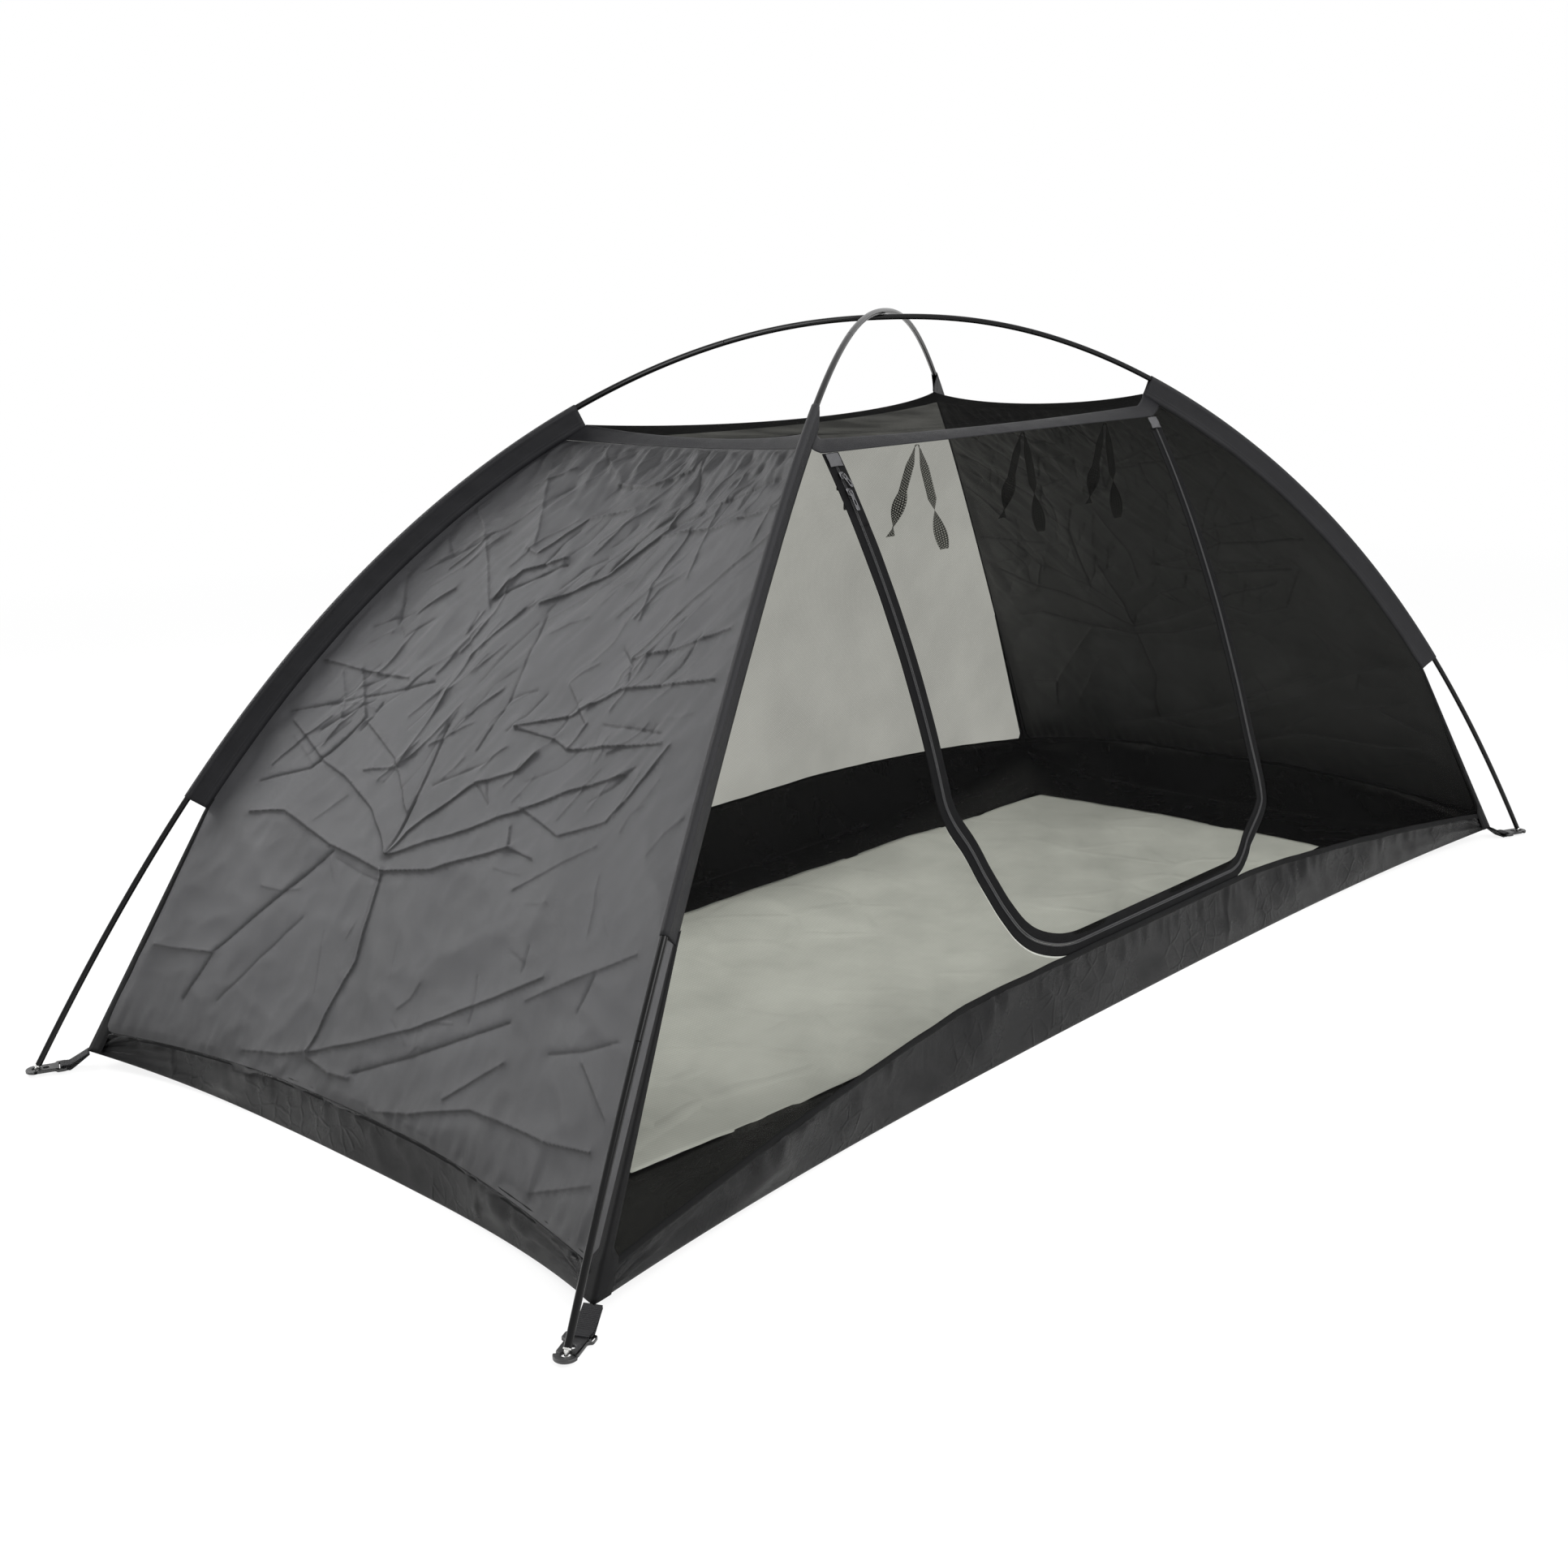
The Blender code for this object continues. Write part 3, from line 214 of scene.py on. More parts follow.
def skin(name, sections, wrap=False, capped=False, flat=None, outward=None):
    """A surface through rows of points, with a UV map in metres of cloth or tube."""
    grid = np.array(sections, dtype=float)
    rows, columns = grid.shape[:2]
    if outward is not None:
        normal = np.cross(grid[:-1, 1:] - grid[:-1, :-1], grid[1:, :-1] - grid[:-1, :-1]).sum(axis=(0, 1))
        if normal @ np.array(outward) < 0:
            grid = grid[:, ::-1]
            flat = None if flat is None else np.array(flat)[:, ::-1]
    if flat is None:
        round_it = np.linalg.norm(np.diff(grid, axis=1, append=grid[:, :1]), axis=2).mean(axis=0)
        u = np.concatenate([[0.0], np.cumsum(round_it)])
        flat = np.stack(np.meshgrid(u, lengths_along(grid.mean(axis=1))), axis=2)
    faces, laid = [], []
    for row in range(rows - 1):
        for column in range(columns if wrap else columns - 1):
            low, after = row * columns, (column + 1) % columns
            faces.append((low + column, low + after, low + columns + after, low + columns + column))
            laid += [flat[row, column], flat[row, column + 1],
                     flat[row + 1, column + 1], flat[row + 1, column]]
    if capped:
        for row, order in ((0, 1), (rows - 1, -1)):
            faces.append(list(range(row * columns, (row + 1) * columns))[::-order])
            laid += [flat[row, 0]] * columns
    mesh = bpy.data.meshes.new(name)
    mesh.from_pydata(grid.reshape(-1, 3).tolist(), [], faces)
    mesh.uv_layers.new(name="cloth").data.foreach_set("uv", np.array(laid, dtype=np.float32).ravel())
    mesh.shade_smooth()
    if wrap:
        shell = bmesh.new()
        shell.from_mesh(mesh)
        bmesh.ops.recalc_face_normals(shell, faces=shell.faces)
        shell.to_mesh(mesh)
        shell.free()
    return link_mesh(mesh)


def finish_piece(piece, look, body, *nodes, slot):
    """Give a piece its material, the body that it rides on and the nodes it stands for. Its slot is not used.
    """
    piece.data.materials.clear()
    piece.data.materials.append(look)
    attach(piece, body)
    if nodes:
        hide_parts(*nodes)


# Black glass fibre rod: pultruded, with long fine grooves from the die and a resin gloss over them.
glass_fibre, tree = new_material("pultruded_glass_fibre")
long_lines = add_node(tree, "Mapping", {"Scale": (1400.0, 6.0, 1.0),
                                        "Vector": add_node(tree, "UVMap", uv_map="cloth")})
grooves = add_node(tree, "TexNoise", {"Scale": 1.0, "Detail": 3.0, "Vector": long_lines},
                   noise_dimensions="2D")
tint = add_node(tree, "Mix", {0: grooves, 6: linear("#040404"), 7: linear("#0B0B0C")}, data_type="RGBA")
rough = add_node(tree, "MapRange", {"To Min": 0.14, "To Max": 0.30, "Value": grooves})
bump = add_node(tree, "Bump", {"Strength": 0.25, "Distance": 0.00008, "Height": grooves})
resin = add_node(tree, "BsdfPrincipled", {"Specular IOR Level": 0.17, "Base Color": tint.outputs[2],
                                          "Roughness": rough, "Normal": bump})
add_node(tree, "OutputMaterial", {"Surface": resin})

tube_edge, tube_steps, bore_steps = 0.0004, 44, 22
for pole, total in pole_totals.items():
    middle = (total - 2 * foot_section_length) / middle_sections
    ends = [0.0] + [foot_section_length + middle * index for index in range(middle_sections + 1)] + [total]
    for index, (start, end) in enumerate(zip(ends, ends[1:])):
        low = start + (tip_length + section_gap if index == 0 else section_gap / 2)
        high = end - (tip_length + section_gap if end == total else section_gap / 2)
        run = high - low - 2 * tube_edge
        stations = [(low, pole_bore / 2), (low, pole_diameter / 2 - tube_edge)]
        stations += [(low + tube_edge + run * step / tube_steps, pole_diameter / 2)
                     for step in range(tube_steps + 1)]
        stations += [(high, pole_diameter / 2 - tube_edge), (high, pole_bore / 2)]
        stations += [(high - (high - low) * step / bore_steps, pole_bore / 2)
                     for step in range(1, bore_steps + 1)]
        rings = [pole_ring(pole, distance, radius, pole_sides) for distance, radius in stations]
        tube = skin(f"pole_{pole}_tube_{index + 1}", rings, wrap=True)
        tube.data.set_sharp_from_angle(angle=math.radians(40))
        finish_piece(tube, glass_fibre, "tent", f"pole_{pole}_section_{index + 1}", slot="pole")

# Shock cords: braided elastic cord, 2 mm, stretched inside each pole from tip to tip.
# The braid is drawn at its real 1 mm pitch; it hardly shows through the bores.
braid, tree = new_material("braided_elastic_cord")
place = add_node(tree, "UVMap", uv_map="cloth")
plaits = add_node(tree, "TexWave", {"Scale": 300.0, "Distortion": 0.6, "Vector": place},
                  bands_direction="DIAGONAL")
bump = add_node(tree, "Bump", {"Strength": 0.5, "Distance": 0.0002, "Height": plaits.outputs["Fac"]})
elastic = add_node(tree, "BsdfPrincipled", {"Base Color": linear("#C9C9C4"), "Roughness": 0.8,
                                            "Normal": bump})
add_node(tree, "OutputMaterial", {"Surface": elastic})
cord_radius, cord_sides = 0.001, 10
cord_inset = tip_length + 0.020 + section_gap
for pole, total in pole_totals.items():
    sections = [pole_ring(pole, distance, cord_radius, cord_sides)
                for distance in np.linspace(cord_inset, total - cord_inset, 161)]
    elastic_cord = skin(f"shock_cord_{pole}_braid", sections, wrap=True, capped=True)
    finish_piece(elastic_cord, braid, "tent", f"shock_cord_{pole}", slot="cord")


# Pole tips: turned steel, nickel plated, a flange against the tube, a cone that centres in the
# anchor plate's hole and a thin pin below it. Fine turning marks run round each.
def grained(name, colour, scale, detail, roughness, relief, **values):
    """A metal or plastic with a fine grain that its roughness and its bump follow."""
    made, tree = new_material(name)
    place = add_node(tree, "TexCoord").outputs["Object"]
    grain = add_node(tree, "TexNoise", {"Scale": scale, "Detail": detail, "Vector": place})
    rough = add_node(tree, "MapRange", {"To Min": roughness[0], "To Max": roughness[1], "Value": grain})
    bump = add_node(tree, "Bump", {"Strength": relief[0], "Distance": relief[1], "Height": grain})
    body = add_node(tree, "BsdfPrincipled", {"Base Color": linear(colour), "Roughness": rough, "Normal": bump,
                                             **values})
    add_node(tree, "OutputMaterial", {"Surface": body})
    return made


nickel = grained("turned_nickel_plated_steel", "#C8C8C6", 2600.0, 2.0, (0.18, 0.36), (0.15, 0.00005),
                 Metallic=1.0)
pin_radius, plug_radius = 0.0007, 0.0021
tip_turns = ((0.0009, 0.0003), (0.0009, 0.0055), (0.0019, 0.0060), (0.0033, 0.0120), (0.0040, 0.0120),
             (0.0043, 0.0123), (0.0043, 0.0135), (0.0040, tip_length), (plug_radius, tip_length),
             (plug_radius, tip_length + 0.020))
for leg in legs:
    bpy.ops.mesh.primitive_circle_add(vertices=40, radius=pin_radius, fill_type="NGON", location=(0, 0, 0))
    tip = bpy.context.object
    tip.name = f"pole_tip_{leg}_turned"
    bpy.ops.object.mode_set(mode="EDIT")
    bpy.ops.mesh.select_all(action="SELECT")
    last_radius, last_height = pin_radius, 0.0
    for radius, height in tip_turns:
        bpy.ops.mesh.extrude_region_move(TRANSFORM_OT_translate={"value": (0, 0, height - last_height)})
        bpy.ops.transform.resize(value=(radius / last_radius, radius / last_radius, 1))
        last_radius, last_height = radius, height
    bpy.ops.mesh.select_all(action="SELECT")
    bpy.ops.mesh.normals_make_consistent(inside=False)
    bpy.ops.object.mode_set(mode="OBJECT")
    turn = Z.rotation_difference(leg_rise(leg)).to_matrix().to_4x4()
    tip.data.transform(Matrix.Translation(pole_point(leg, 1.0)) @ turn)
    bpy.ops.object.shade_smooth_by_angle(angle=math.radians(35))
    finish_piece(tip, nickel, "tent", f"pole_tip_{leg}", slot="tip")

# Anchor plates: moulded polyamide tongues. The pole's tip stands in the first hole, the second is
# spare for a tighter pitch, and the wide head has a slot for the webbing with two rounded ears.
moulded = grained("moulded_black_polyamide", "#161617", 1500.0, 2.0, (0.34, 0.52), (0.3, 0.0001), IOR=1.53)
plate_thickness, plate_lift, plate_length = 0.0036, 0.0040, 0.050
nose_radius, neck_half, head_half, head_length = 0.0125, 0.0115, 0.0165, 0.014
slot_half_width, slot_half_length = 0.0025, 0.01125
slot_centre = plate_length - nose_radius - 0.0045 - 0.0025


def plate_frame(leg):
    """Origin at the pole's tip hole on the plate's underside, X inwards along the diagonal."""
    rise, foot = leg_rise(leg), pole_point(leg, 1.0)
    inward = Vector((-foot.x, -foot.y, 0)).normalized()
    through = foot + rise * ((plate_lift + plate_thickness / 2) / rise.z)
    turn = Matrix((inward, Z.cross(inward), Z)).transposed().to_4x4()
    return Matrix.Translation((through.x, through.y, plate_lift)) @ turn


def flat_plate(name, outlines, thickness, edge):
    """A flat moulded or stamped shape with holes and rounded edges, lying on its middle plane."""
    curve = bpy.data.curves.new(name, "CURVE")
    curve.dimensions, curve.fill_mode = "2D", "BOTH"
    curve.extrude, curve.bevel_depth, curve.bevel_resolution = thickness / 2 - edge, edge, 2
    curve.offset = -edge
    for outline in outlines:
        spline = curve.splines.new("POLY")
        spline.points.add(len(outline) - 1)
        spline.points.foreach_set("co", [value for x, y in outline for value in (x, y, 0, 1.0)])
        spline.use_cyclic_u = True
    holder = bpy.data.objects.new(name, curve)
    scene.collection.objects.link(holder)
    choose(holder)
    bpy.ops.object.convert(target="MESH")
    made = bpy.context.object
    bpy.ops.object.mode_set(mode="EDIT")
    bpy.ops.mesh.select_all(action="SELECT")
    bpy.ops.mesh.remove_doubles(threshold=0.00002)
    bpy.ops.mesh.normals_make_consistent(inside=False)
    bpy.ops.object.mode_set(mode="OBJECT")
    bpy.ops.object.shade_smooth_by_angle(angle=math.radians(35))
    return made


def choose(*pieces):
    """Select some pieces alone, the first as the active one."""
    bpy.ops.object.select_all(action="DESELECT")
    for piece in pieces:
        piece.select_set(True)
    bpy.context.view_layer.objects.active = pieces[0]


def rounded(corners, radius, steps=5):
    """A closed outline with each corner rounded off."""
    points = []
    count = len(corners)
    for index in range(count):
        before, here, after = (Vector(corners[(index + shift) % count]) for shift in (-1, 0, 1))
        reach = min(radius, (before - here).length * 0.49, (after - here).length * 0.49)
        start = here + (before - here).normalized() * reach
        end = here + (after - here).normalized() * reach
        for part in (step / steps for step in range(steps + 1)):
            points.append(start * (1 - part) ** 2 + here * (2 * part * (1 - part)) + end * part ** 2)
    return [(point.x, point.y) for point in points]


def oblong(middle_x, half_width, start_y, end_y, radius):
    """The outline of a slot or window with rounded corners."""
    low, high = middle_x - half_width, middle_x + half_width
    return rounded([(low, start_y), (high, start_y), (high, end_y), (low, end_y)], radius)


def circle(centre_x, radius, count=28):
    angles = [2 * math.pi * step / count for step in range(count)]
    return [(centre_x + radius * math.cos(angle), radius * math.sin(angle)) for angle in angles]


head_start, head_end = plate_length - nose_radius - head_length, plate_length - nose_radius
nose = [(-nose_radius * math.sin(math.radians(a)), nose_radius * math.cos(math.radians(a)))
        for a in range(10, 171, 8)]
head_side = [(0.0, neck_half), (head_start, neck_half), (head_start + 0.0015, head_half),
             (head_end, head_half)]
head = rounded(head_side + [(x, -y) for x, y in head_side[::-1]], 0.004)
plate_outlines = [nose + head[::-1], circle(0.0, 0.0050), circle(0.0125, 0.0040),
                  oblong(slot_centre, slot_half_width, -slot_half_length, slot_half_length, 0.0012)]
for leg in legs:
    plate = flat_plate(f"anchor_plate_{leg}_moulding", plate_outlines, plate_thickness, 0.0007)
    plate.data.transform(plate_frame(leg) @ Matrix.Translation((0, 0, plate_thickness / 2)))
    finish_piece(plate, moulded, "tent", f"anchor_plate_{leg}", slot="plate")

# Webbing: woven polypropylene tape, 20 mm, looped through the plate's slot and sewn to the corner.
# Its ribs are 2 mm apart, drawn from thread rows in the cloth's own UV.
ribbed, tree = new_material("woven_polypropylene_webbing")
place = add_node(tree, "UVMap", uv_map="cloth")
ribs = add_node(tree, "TexWave", {"Scale": 3.2 * 50, "Distortion": 0.3, "Detail": 1.0, "Vector": place},
                bands_direction="Y").outputs["Fac"]
threads = add_node(tree, "TexWave", {"Scale": 3.2 * 90, "Distortion": 1.2, "Detail": 1.0, "Vector": place},
                   bands_direction="X").outputs["Fac"]
relief = add_node(tree, "Math", {0: threads, 1: 0.35}, operation="MULTIPLY")
relief = add_node(tree, "Math", {0: ribs, 1: relief}, operation="ADD")
bump = add_node(tree, "Bump", {"Strength": 0.9, "Distance": 0.0006, "Height": relief})
shade = add_node(tree, "ValToRGB", {"Fac": relief})
for stop, colour in zip(shade.color_ramp.elements, ("#070708", "#1E1E20")):
    stop.color = linear(colour)
weave = add_node(tree, "BsdfPrincipled", {"Roughness": 0.72, "Specular IOR Level": 0.25, "Base Color": shade,
                                          "Normal": bump})
add_node(tree, "OutputMaterial", {"Surface": weave})

body_corner_share, body_corner_height = 0.943, 0.020
webbing_half_width, webbing_thickness, webbing_clearance = 0.010, 0.0016, 0.0005


def body_corner(leg):
    foot = pole_point(leg, 1.0)
    return Vector((foot.x * body_corner_share, foot.y * body_corner_share, body_corner_height))


def smooth_line(points, steps):
    """A smooth curve through points, with the given number of steps between two of them."""
    points = [Vector(point) for point in points]
    padded = [points[0] * 2 - points[1]] + points + [points[-1] * 2 - points[-2]]
    line = []
    for a, b, c, d in zip(padded, padded[1:], padded[2:], padded[3:]):
        for t in (step / steps for step in range(steps)):
            line.append(0.5 * (2 * b + (c - a) * t + (2 * a - 5 * b + 4 * c - d) * t * t
                               + (3 * b - a - 3 * c + d) * t * t * t))
    return line + [points[-1]]


half = webbing_thickness / 2
high, low = plate_thickness + webbing_clearance + half, -webbing_clearance - half
webbing_route = ((head_end + 0.006, high + 0.001), (head_end + 0.001, high), (slot_centre + 0.0012, high),
                 (slot_centre - half * 0.6, high * 0.62), (slot_centre - half * 0.6, low * 0.4),
                 (slot_centre + 0.0012, low), (head_end + 0.001, low), (head_end + 0.006, low + 0.001))
webbing_face = [(-1, -0.5), (-0.9, -1), (-0.45, -1), (0, -1), (0.45, -1), (0.9, -1), (1, -0.5)]
webbing_profile = webbing_face + [(-x, -y) for x, y in webbing_face]
for leg in legs:
    place, corner = plate_frame(leg), body_corner(leg)
    side = place.to_3x3() @ Vector((0, 1, 0))
    lap = Z * (half + webbing_clearance / 2)
    route = [corner + lap] + [place @ Vector((x, 0, z)) for x, z in webbing_route] + [corner - lap]
    line = smooth_line(route, 5)
    sections = []
    for before, point, after in zip([line[0]] + line, line, line[1:] + [line[-1]]):
        normal = (after - before).normalized().cross(side).normalized()
        sections.append([point + side * (x * webbing_half_width) + normal * (y * half)
                         for x, y in webbing_profile])
    loop = skin(f"webbing_{leg}_tape", sections, wrap=True, capped=True)
    finish_piece(loop, ribbed, "tent", f"webbing_{leg}", slot="webbing")

# End walls: dark grey polyester taffeta, one panel at each end, creased from the stuff sack and
# gathered where it is sewn to the roof trim and to the bathtub band.
sleeve_shares, sleeve_depth = (0.253, 0.70), 0.028
corner_gap, seam_gap = 0.0003, 0.0004
wall_foot_height, wall_top_height, trim_sag = 0.045, 0.768, 0.007
wall_legs = {"front": ("front_left", "front_right"), "right": ("front_right", "rear_right"),
             "rear": ("rear_right", "rear_left"), "left": ("rear_left", "front_left")}
wall_outward = {"front": Vector((0, -1, 0)), "right": Vector((1, 0, 0)),
                "rear": Vector((0, 1, 0)), "left": Vector((-1, 0, 0))}
wall_bow = {"front": 0.055, "right": 0.040, "rear": 0.055, "left": 0.040}
band_heights = {"front": 0.097, "right": 0.096, "rear": 0.122, "left": 0.060}
band_height_power, band_flat_share = 2.2, 0.30


def sleeve_run(leg, count):
    """Distances along a leg, from the low end of its sleeve to the high one."""
    return np.linspace(*(share * leg_lengths[leg] for share in sleeve_shares), count)


seam_lines = {}
for leg in legs:
    frames = [leg_frame(leg, distance) for distance in sleeve_run(leg, 61)]
    seam_lines[leg] = np.array([body_corner(leg)] + [centre + down * sleeve_depth
                                                     for centre, along, side, down in frames])


def seam_at(leg, height):
    """The point of the seam between two walls at a height."""
    x, y, z = seam_lines[leg].T
    return Vector((np.interp(height, z, x), np.interp(height, z, y), height))


def hump(share):
    """1 in the middle of a side and 0 at its ends."""
    return 4 * share * (1 - share)


def wall_point(wall, share, height):
    start, end = (seam_at(leg, height) for leg in wall_legs[wall])
    inset = corner_gap / (end - start).length
    part = inset + share * (1 - 2 * inset)
    return start.lerp(end, part) - wall_outward[wall] * (wall_bow[wall] * hump(part))


def band_top(wall, share):
    full = 1 - band_flat_share ** band_height_power
    rise = min((1 - abs(2 * share - 1) ** band_height_power) / full, 1.0)
    return wall_foot_height + (band_heights[wall] - wall_foot_height) * rise


def wall_top(share):
    return wall_top_height - trim_sag * hump(share)


def wall_place(wall, s, t):
    foot = band_top(wall, s) + seam_gap
    return wall_point(wall, s, foot + (wall_top(s) - seam_gap - foot) * t)


def woven(name, colour, thread, roughness, gloss, patches, stitches=(), crinkle=None, painted_light_and_tone=None):
    """Plain woven cloth: threads both ways, faded paler in patches, with stitching and fine crinkles; a named
    attribute scales its tone with the painted shade and painted highlights of pressed folds."""
    made, tree = new_material(name)
    place = add_node(tree, "UVMap", uv_map="cloth")
    split = add_node(tree, "SeparateXYZ", {"Vector": place}).outputs
    turns = [add_node(tree, "Math", {0: split[axis], 1: 2 * math.pi / thread}, operation="MULTIPLY")
             for axis in (0, 1)]
    waves = [add_node(tree, "Math", {0: turn}, operation="SINE") for turn in turns]
    height = add_node(tree, "Math", {0: waves[0], 1: waves[1]}, operation="MULTIPLY")
    spots = add_node(tree, "TexNoise", {"Scale": patches, "Detail": 5.0, "Roughness": 0.6, "Vector": place},
                     noise_dimensions="2D")
    shade = add_node(tree, "MapRange", {"From Min": 0.3, "From Max": 0.7, "To Min": 0.90, "To Max": 1.10,
                                        "Value": spots})
    lift = add_node(tree, "Math", {0: height, 1: 0.05, 2: shade}, operation="MULTIPLY_ADD")
    thread_rows = None
    for across, pitch in stitches:
        off = add_node(tree, "Math", {0: split[0], 1: across}, operation="SUBTRACT")
        off = add_node(tree, "Math", {0: off}, operation="ABSOLUTE")
        near = add_node(tree, "MapRange", {"From Min": 0.0003, "From Max": 0.0007, "To Min": 1.0,
                                           "To Max": 0.0, "Value": off})
        step = add_node(tree, "Math", {0: split[1], 1: 2 * math.pi / pitch}, operation="MULTIPLY")
        step = add_node(tree, "Math", {0: step}, operation="SINE")
        dash = add_node(tree, "MapRange", {"From Min": -0.7, "From Max": -0.4, "Value": step})
        row = add_node(tree, "Math", {0: near, 1: dash}, operation="MULTIPLY")
        if thread_rows:
            row = add_node(tree, "Math", {0: row, 1: thread_rows}, operation="MAXIMUM")
        thread_rows = row
    if thread_rows:
        proud = add_node(tree, "Math", {0: thread_rows, 1: 3.0}, operation="MULTIPLY")
        height = add_node(tree, "Math", {0: height, 1: proud}, operation="ADD")
        lift = add_node(tree, "Math", {0: thread_rows, 1: 0.35, 2: lift}, operation="MULTIPLY_ADD")
    # The named attribute scales the tone: painted shade and painted highlights along pressed folds.
    if painted_light_and_tone:
        line = add_node(tree, "Attribute", attribute_name=painted_light_and_tone).outputs["Fac"]
        lift = add_node(tree, "Math", {0: lift, 1: line}, operation="MULTIPLY")
    tint = add_node(tree, "VectorMath", {0: linear(colour)[:3], "Scale": lift}, operation="SCALE")
    rough = add_node(tree, "MapRange", {"From Min": 0.3, "From Max": 0.7, "To Min": roughness - 0.05,
                                        "To Max": roughness + 0.07, "Value": spots})
    bump = add_node(tree, "Bump", {"Strength": 0.4, "Distance": thread * 0.25, "Height": height})
    if crinkle:
        cells, depth = crinkle
        stray = add_node(tree, "TexNoise", {"Scale": cells * 0.7, "Detail": 2.0, "Vector": place},
                         noise_dimensions="2D").outputs["Color"]
        stray = add_node(tree, "VectorMath", {0: stray, 1: (0.5 / cells,) * 3}, operation="MULTIPLY")
        where = add_node(tree, "VectorMath", {0: place, 1: stray}, operation="ADD")
        lines = add_node(tree, "TexVoronoi", {"Scale": cells, "Vector": where}, voronoi_dimensions="2D",
                         feature="DISTANCE_TO_EDGE").outputs["Distance"]
        ridge = add_node(tree, "MapRange", {"From Max": 0.16, "To Min": 1.0, "To Max": 0.0, "Value": lines},
                         interpolation_type="SMOOTHERSTEP")
        area = add_node(tree, "TexNoise", {"Scale": cells * 0.22, "Detail": 1.0, "Vector": place},
                        noise_dimensions="2D")
        area = add_node(tree, "MapRange", {"From Min": 0.40, "From Max": 0.62, "Value": area})
        ridge = add_node(tree, "Math", {0: ridge, 1: area}, operation="MULTIPLY")
        bump = add_node(tree, "Bump", {"Strength": 0.7, "Distance": depth, "Height": ridge, "Normal": bump})
    cloth = add_node(tree, "BsdfPrincipled", {"Specular IOR Level": gloss, "Base Color": tint,
                                              "Roughness": rough, "Normal": bump})
    add_node(tree, "OutputMaterial", {"Surface": cloth})
    return made


# Polyester taffeta: fine filament yarn gives a soft satin light on every fold. Threads are 0.25 mm
# apart and are drawn at 0.8 mm, or they wouldn't show.
# Its tone follows the crease attribute, which holds the painted shade and painted highlights of the end
# walls' folds.
taffeta = woven("polyester_taffeta", "#3B3B3D", 0.0008, 0.42, 0.24, 9.0, painted_light_and_tone="crease")

# Pressed folds of the left end wall: how sharp each is, in tenths, with its sign for the side that
# it leans to, and then its course in thousandths across and up the wall
pressed_folds = (
    (10, 17, 633, 120, 621, 230, 617), (-8, 30, 546, 133, 571, 227, 596, 287, 617),
    (6, 80, 617, 130, 571, 150, 542), (8, 120, 621, 200, 546, 313, 496, 393, 425),
    (10, 53, 533, 173, 475, 233, 458, 323, 417, 400, 358), (-8, 197, 546, 170, 487, 153, 462, 67, 433),
    (7, 263, 471, 323, 483, 360, 537, 383, 592), (-10, 400, 358, 400, 442, 377, 558),
    (8, 330, 662, 327, 483), (-6, 330, 662, 280, 700, 273, 729), (8, 330, 662, 377, 742, 440, 767),
    (12, 400, 358, 417, 396, 507, 483, 583, 512, 600, 542),
    (12, 400, 358, 513, 408, 620, 462, 703, 508, 800, 546),
    (13, 90, 383, 157, 392, 277, 354, 400, 333, 500, 354, 637, 412),
    (10, 620, 467, 717, 446, 800, 483, 880, 596), (-8, 507, 483, 553, 458, 530, 487),
    (13, 530, 571, 633, 604, 723, 650, 943, 688), (13, 530, 571, 623, 567, 657, 558, 813, 588, 860, 596),
    (8, 657, 558, 670, 596, 600, 642), (-8, 710, 600, 843, 608), (11, 720, 692, 820, 717, 937, 754),
    (-8, 673, 704, 720, 683, 730, 662), (9, 717, 692, 797, 783, 957, 883),
    (11, 613, 867, 760, 883, 957, 917), (-10, 610, 879, 713, 908, 910, 958),
    (13, 280, 750, 307, 796, 393, 821), (-9, 280, 750, 380, 804, 403, 812),
    (11, 270, 829, 313, 821, 360, 883, 480, 900), (12, 413, 750, 460, 771, 527, 804, 607, 871, 640, 917),
    (-10, 527, 812, 550, 854, 633, 921, 560, 996), (12, 353, 938, 463, 933, 563, 963, 560, 987),
    (10, 173, 992, 277, 963, 370, 938), (8, 113, 925, 187, 954), (-8, 17, 787, 83, 733, 110, 700, 140, 683),
    (7, 23, 887, 120, 850, 287, 738), (-6, 27, 846, 93, 812), (7, 293, 779, 313, 729, 297, 667),
    (-7, 470, 529, 480, 613, 443, 733), (6, 77, 963, 203, 896, 287, 833), (7, 677, 746, 667, 825, 693, 879),
    (11, 400, 333, 417, 196, 397, 108, 393, 50), (-8, 287, 346, 210, 246, 143, 154, 127, 75),
    (9, 30, 150, 63, 150, 143, 154), (10, 393, 50, 473, 87, 567, 133, 657, 192, 780, 271),
    (-9, 487, 46, 587, 100, 737, 196), (10, 393, 42, 447, 33, 483, 37),
    (10, 537, 4, 620, 29, 717, 71, 790, 79, 863, 87, 937, 108), (7, 667, 67, 707, 108, 750, 146),
    (6, 757, 233, 937, 350), (-5, 853, 250, 870, 300), (7, 887, 196, 947, 154), (6, 670, 362, 797, 450),
    (10, 617, 438, 633, 412, 683, 408), (-6, 820, 183, 880, 208, 940, 242), (7, 273, 21, 343, 33, 390, 50),
    (-4, 190, 83, 280, 237), (5, 853, 21, 950, 75),
)
end_wall_folds = [(sharp / 10, *((x / 1000, y / 1000) for x, y in zip(course[::2], course[1::2])))
                  for sharp, *course in pressed_folds]
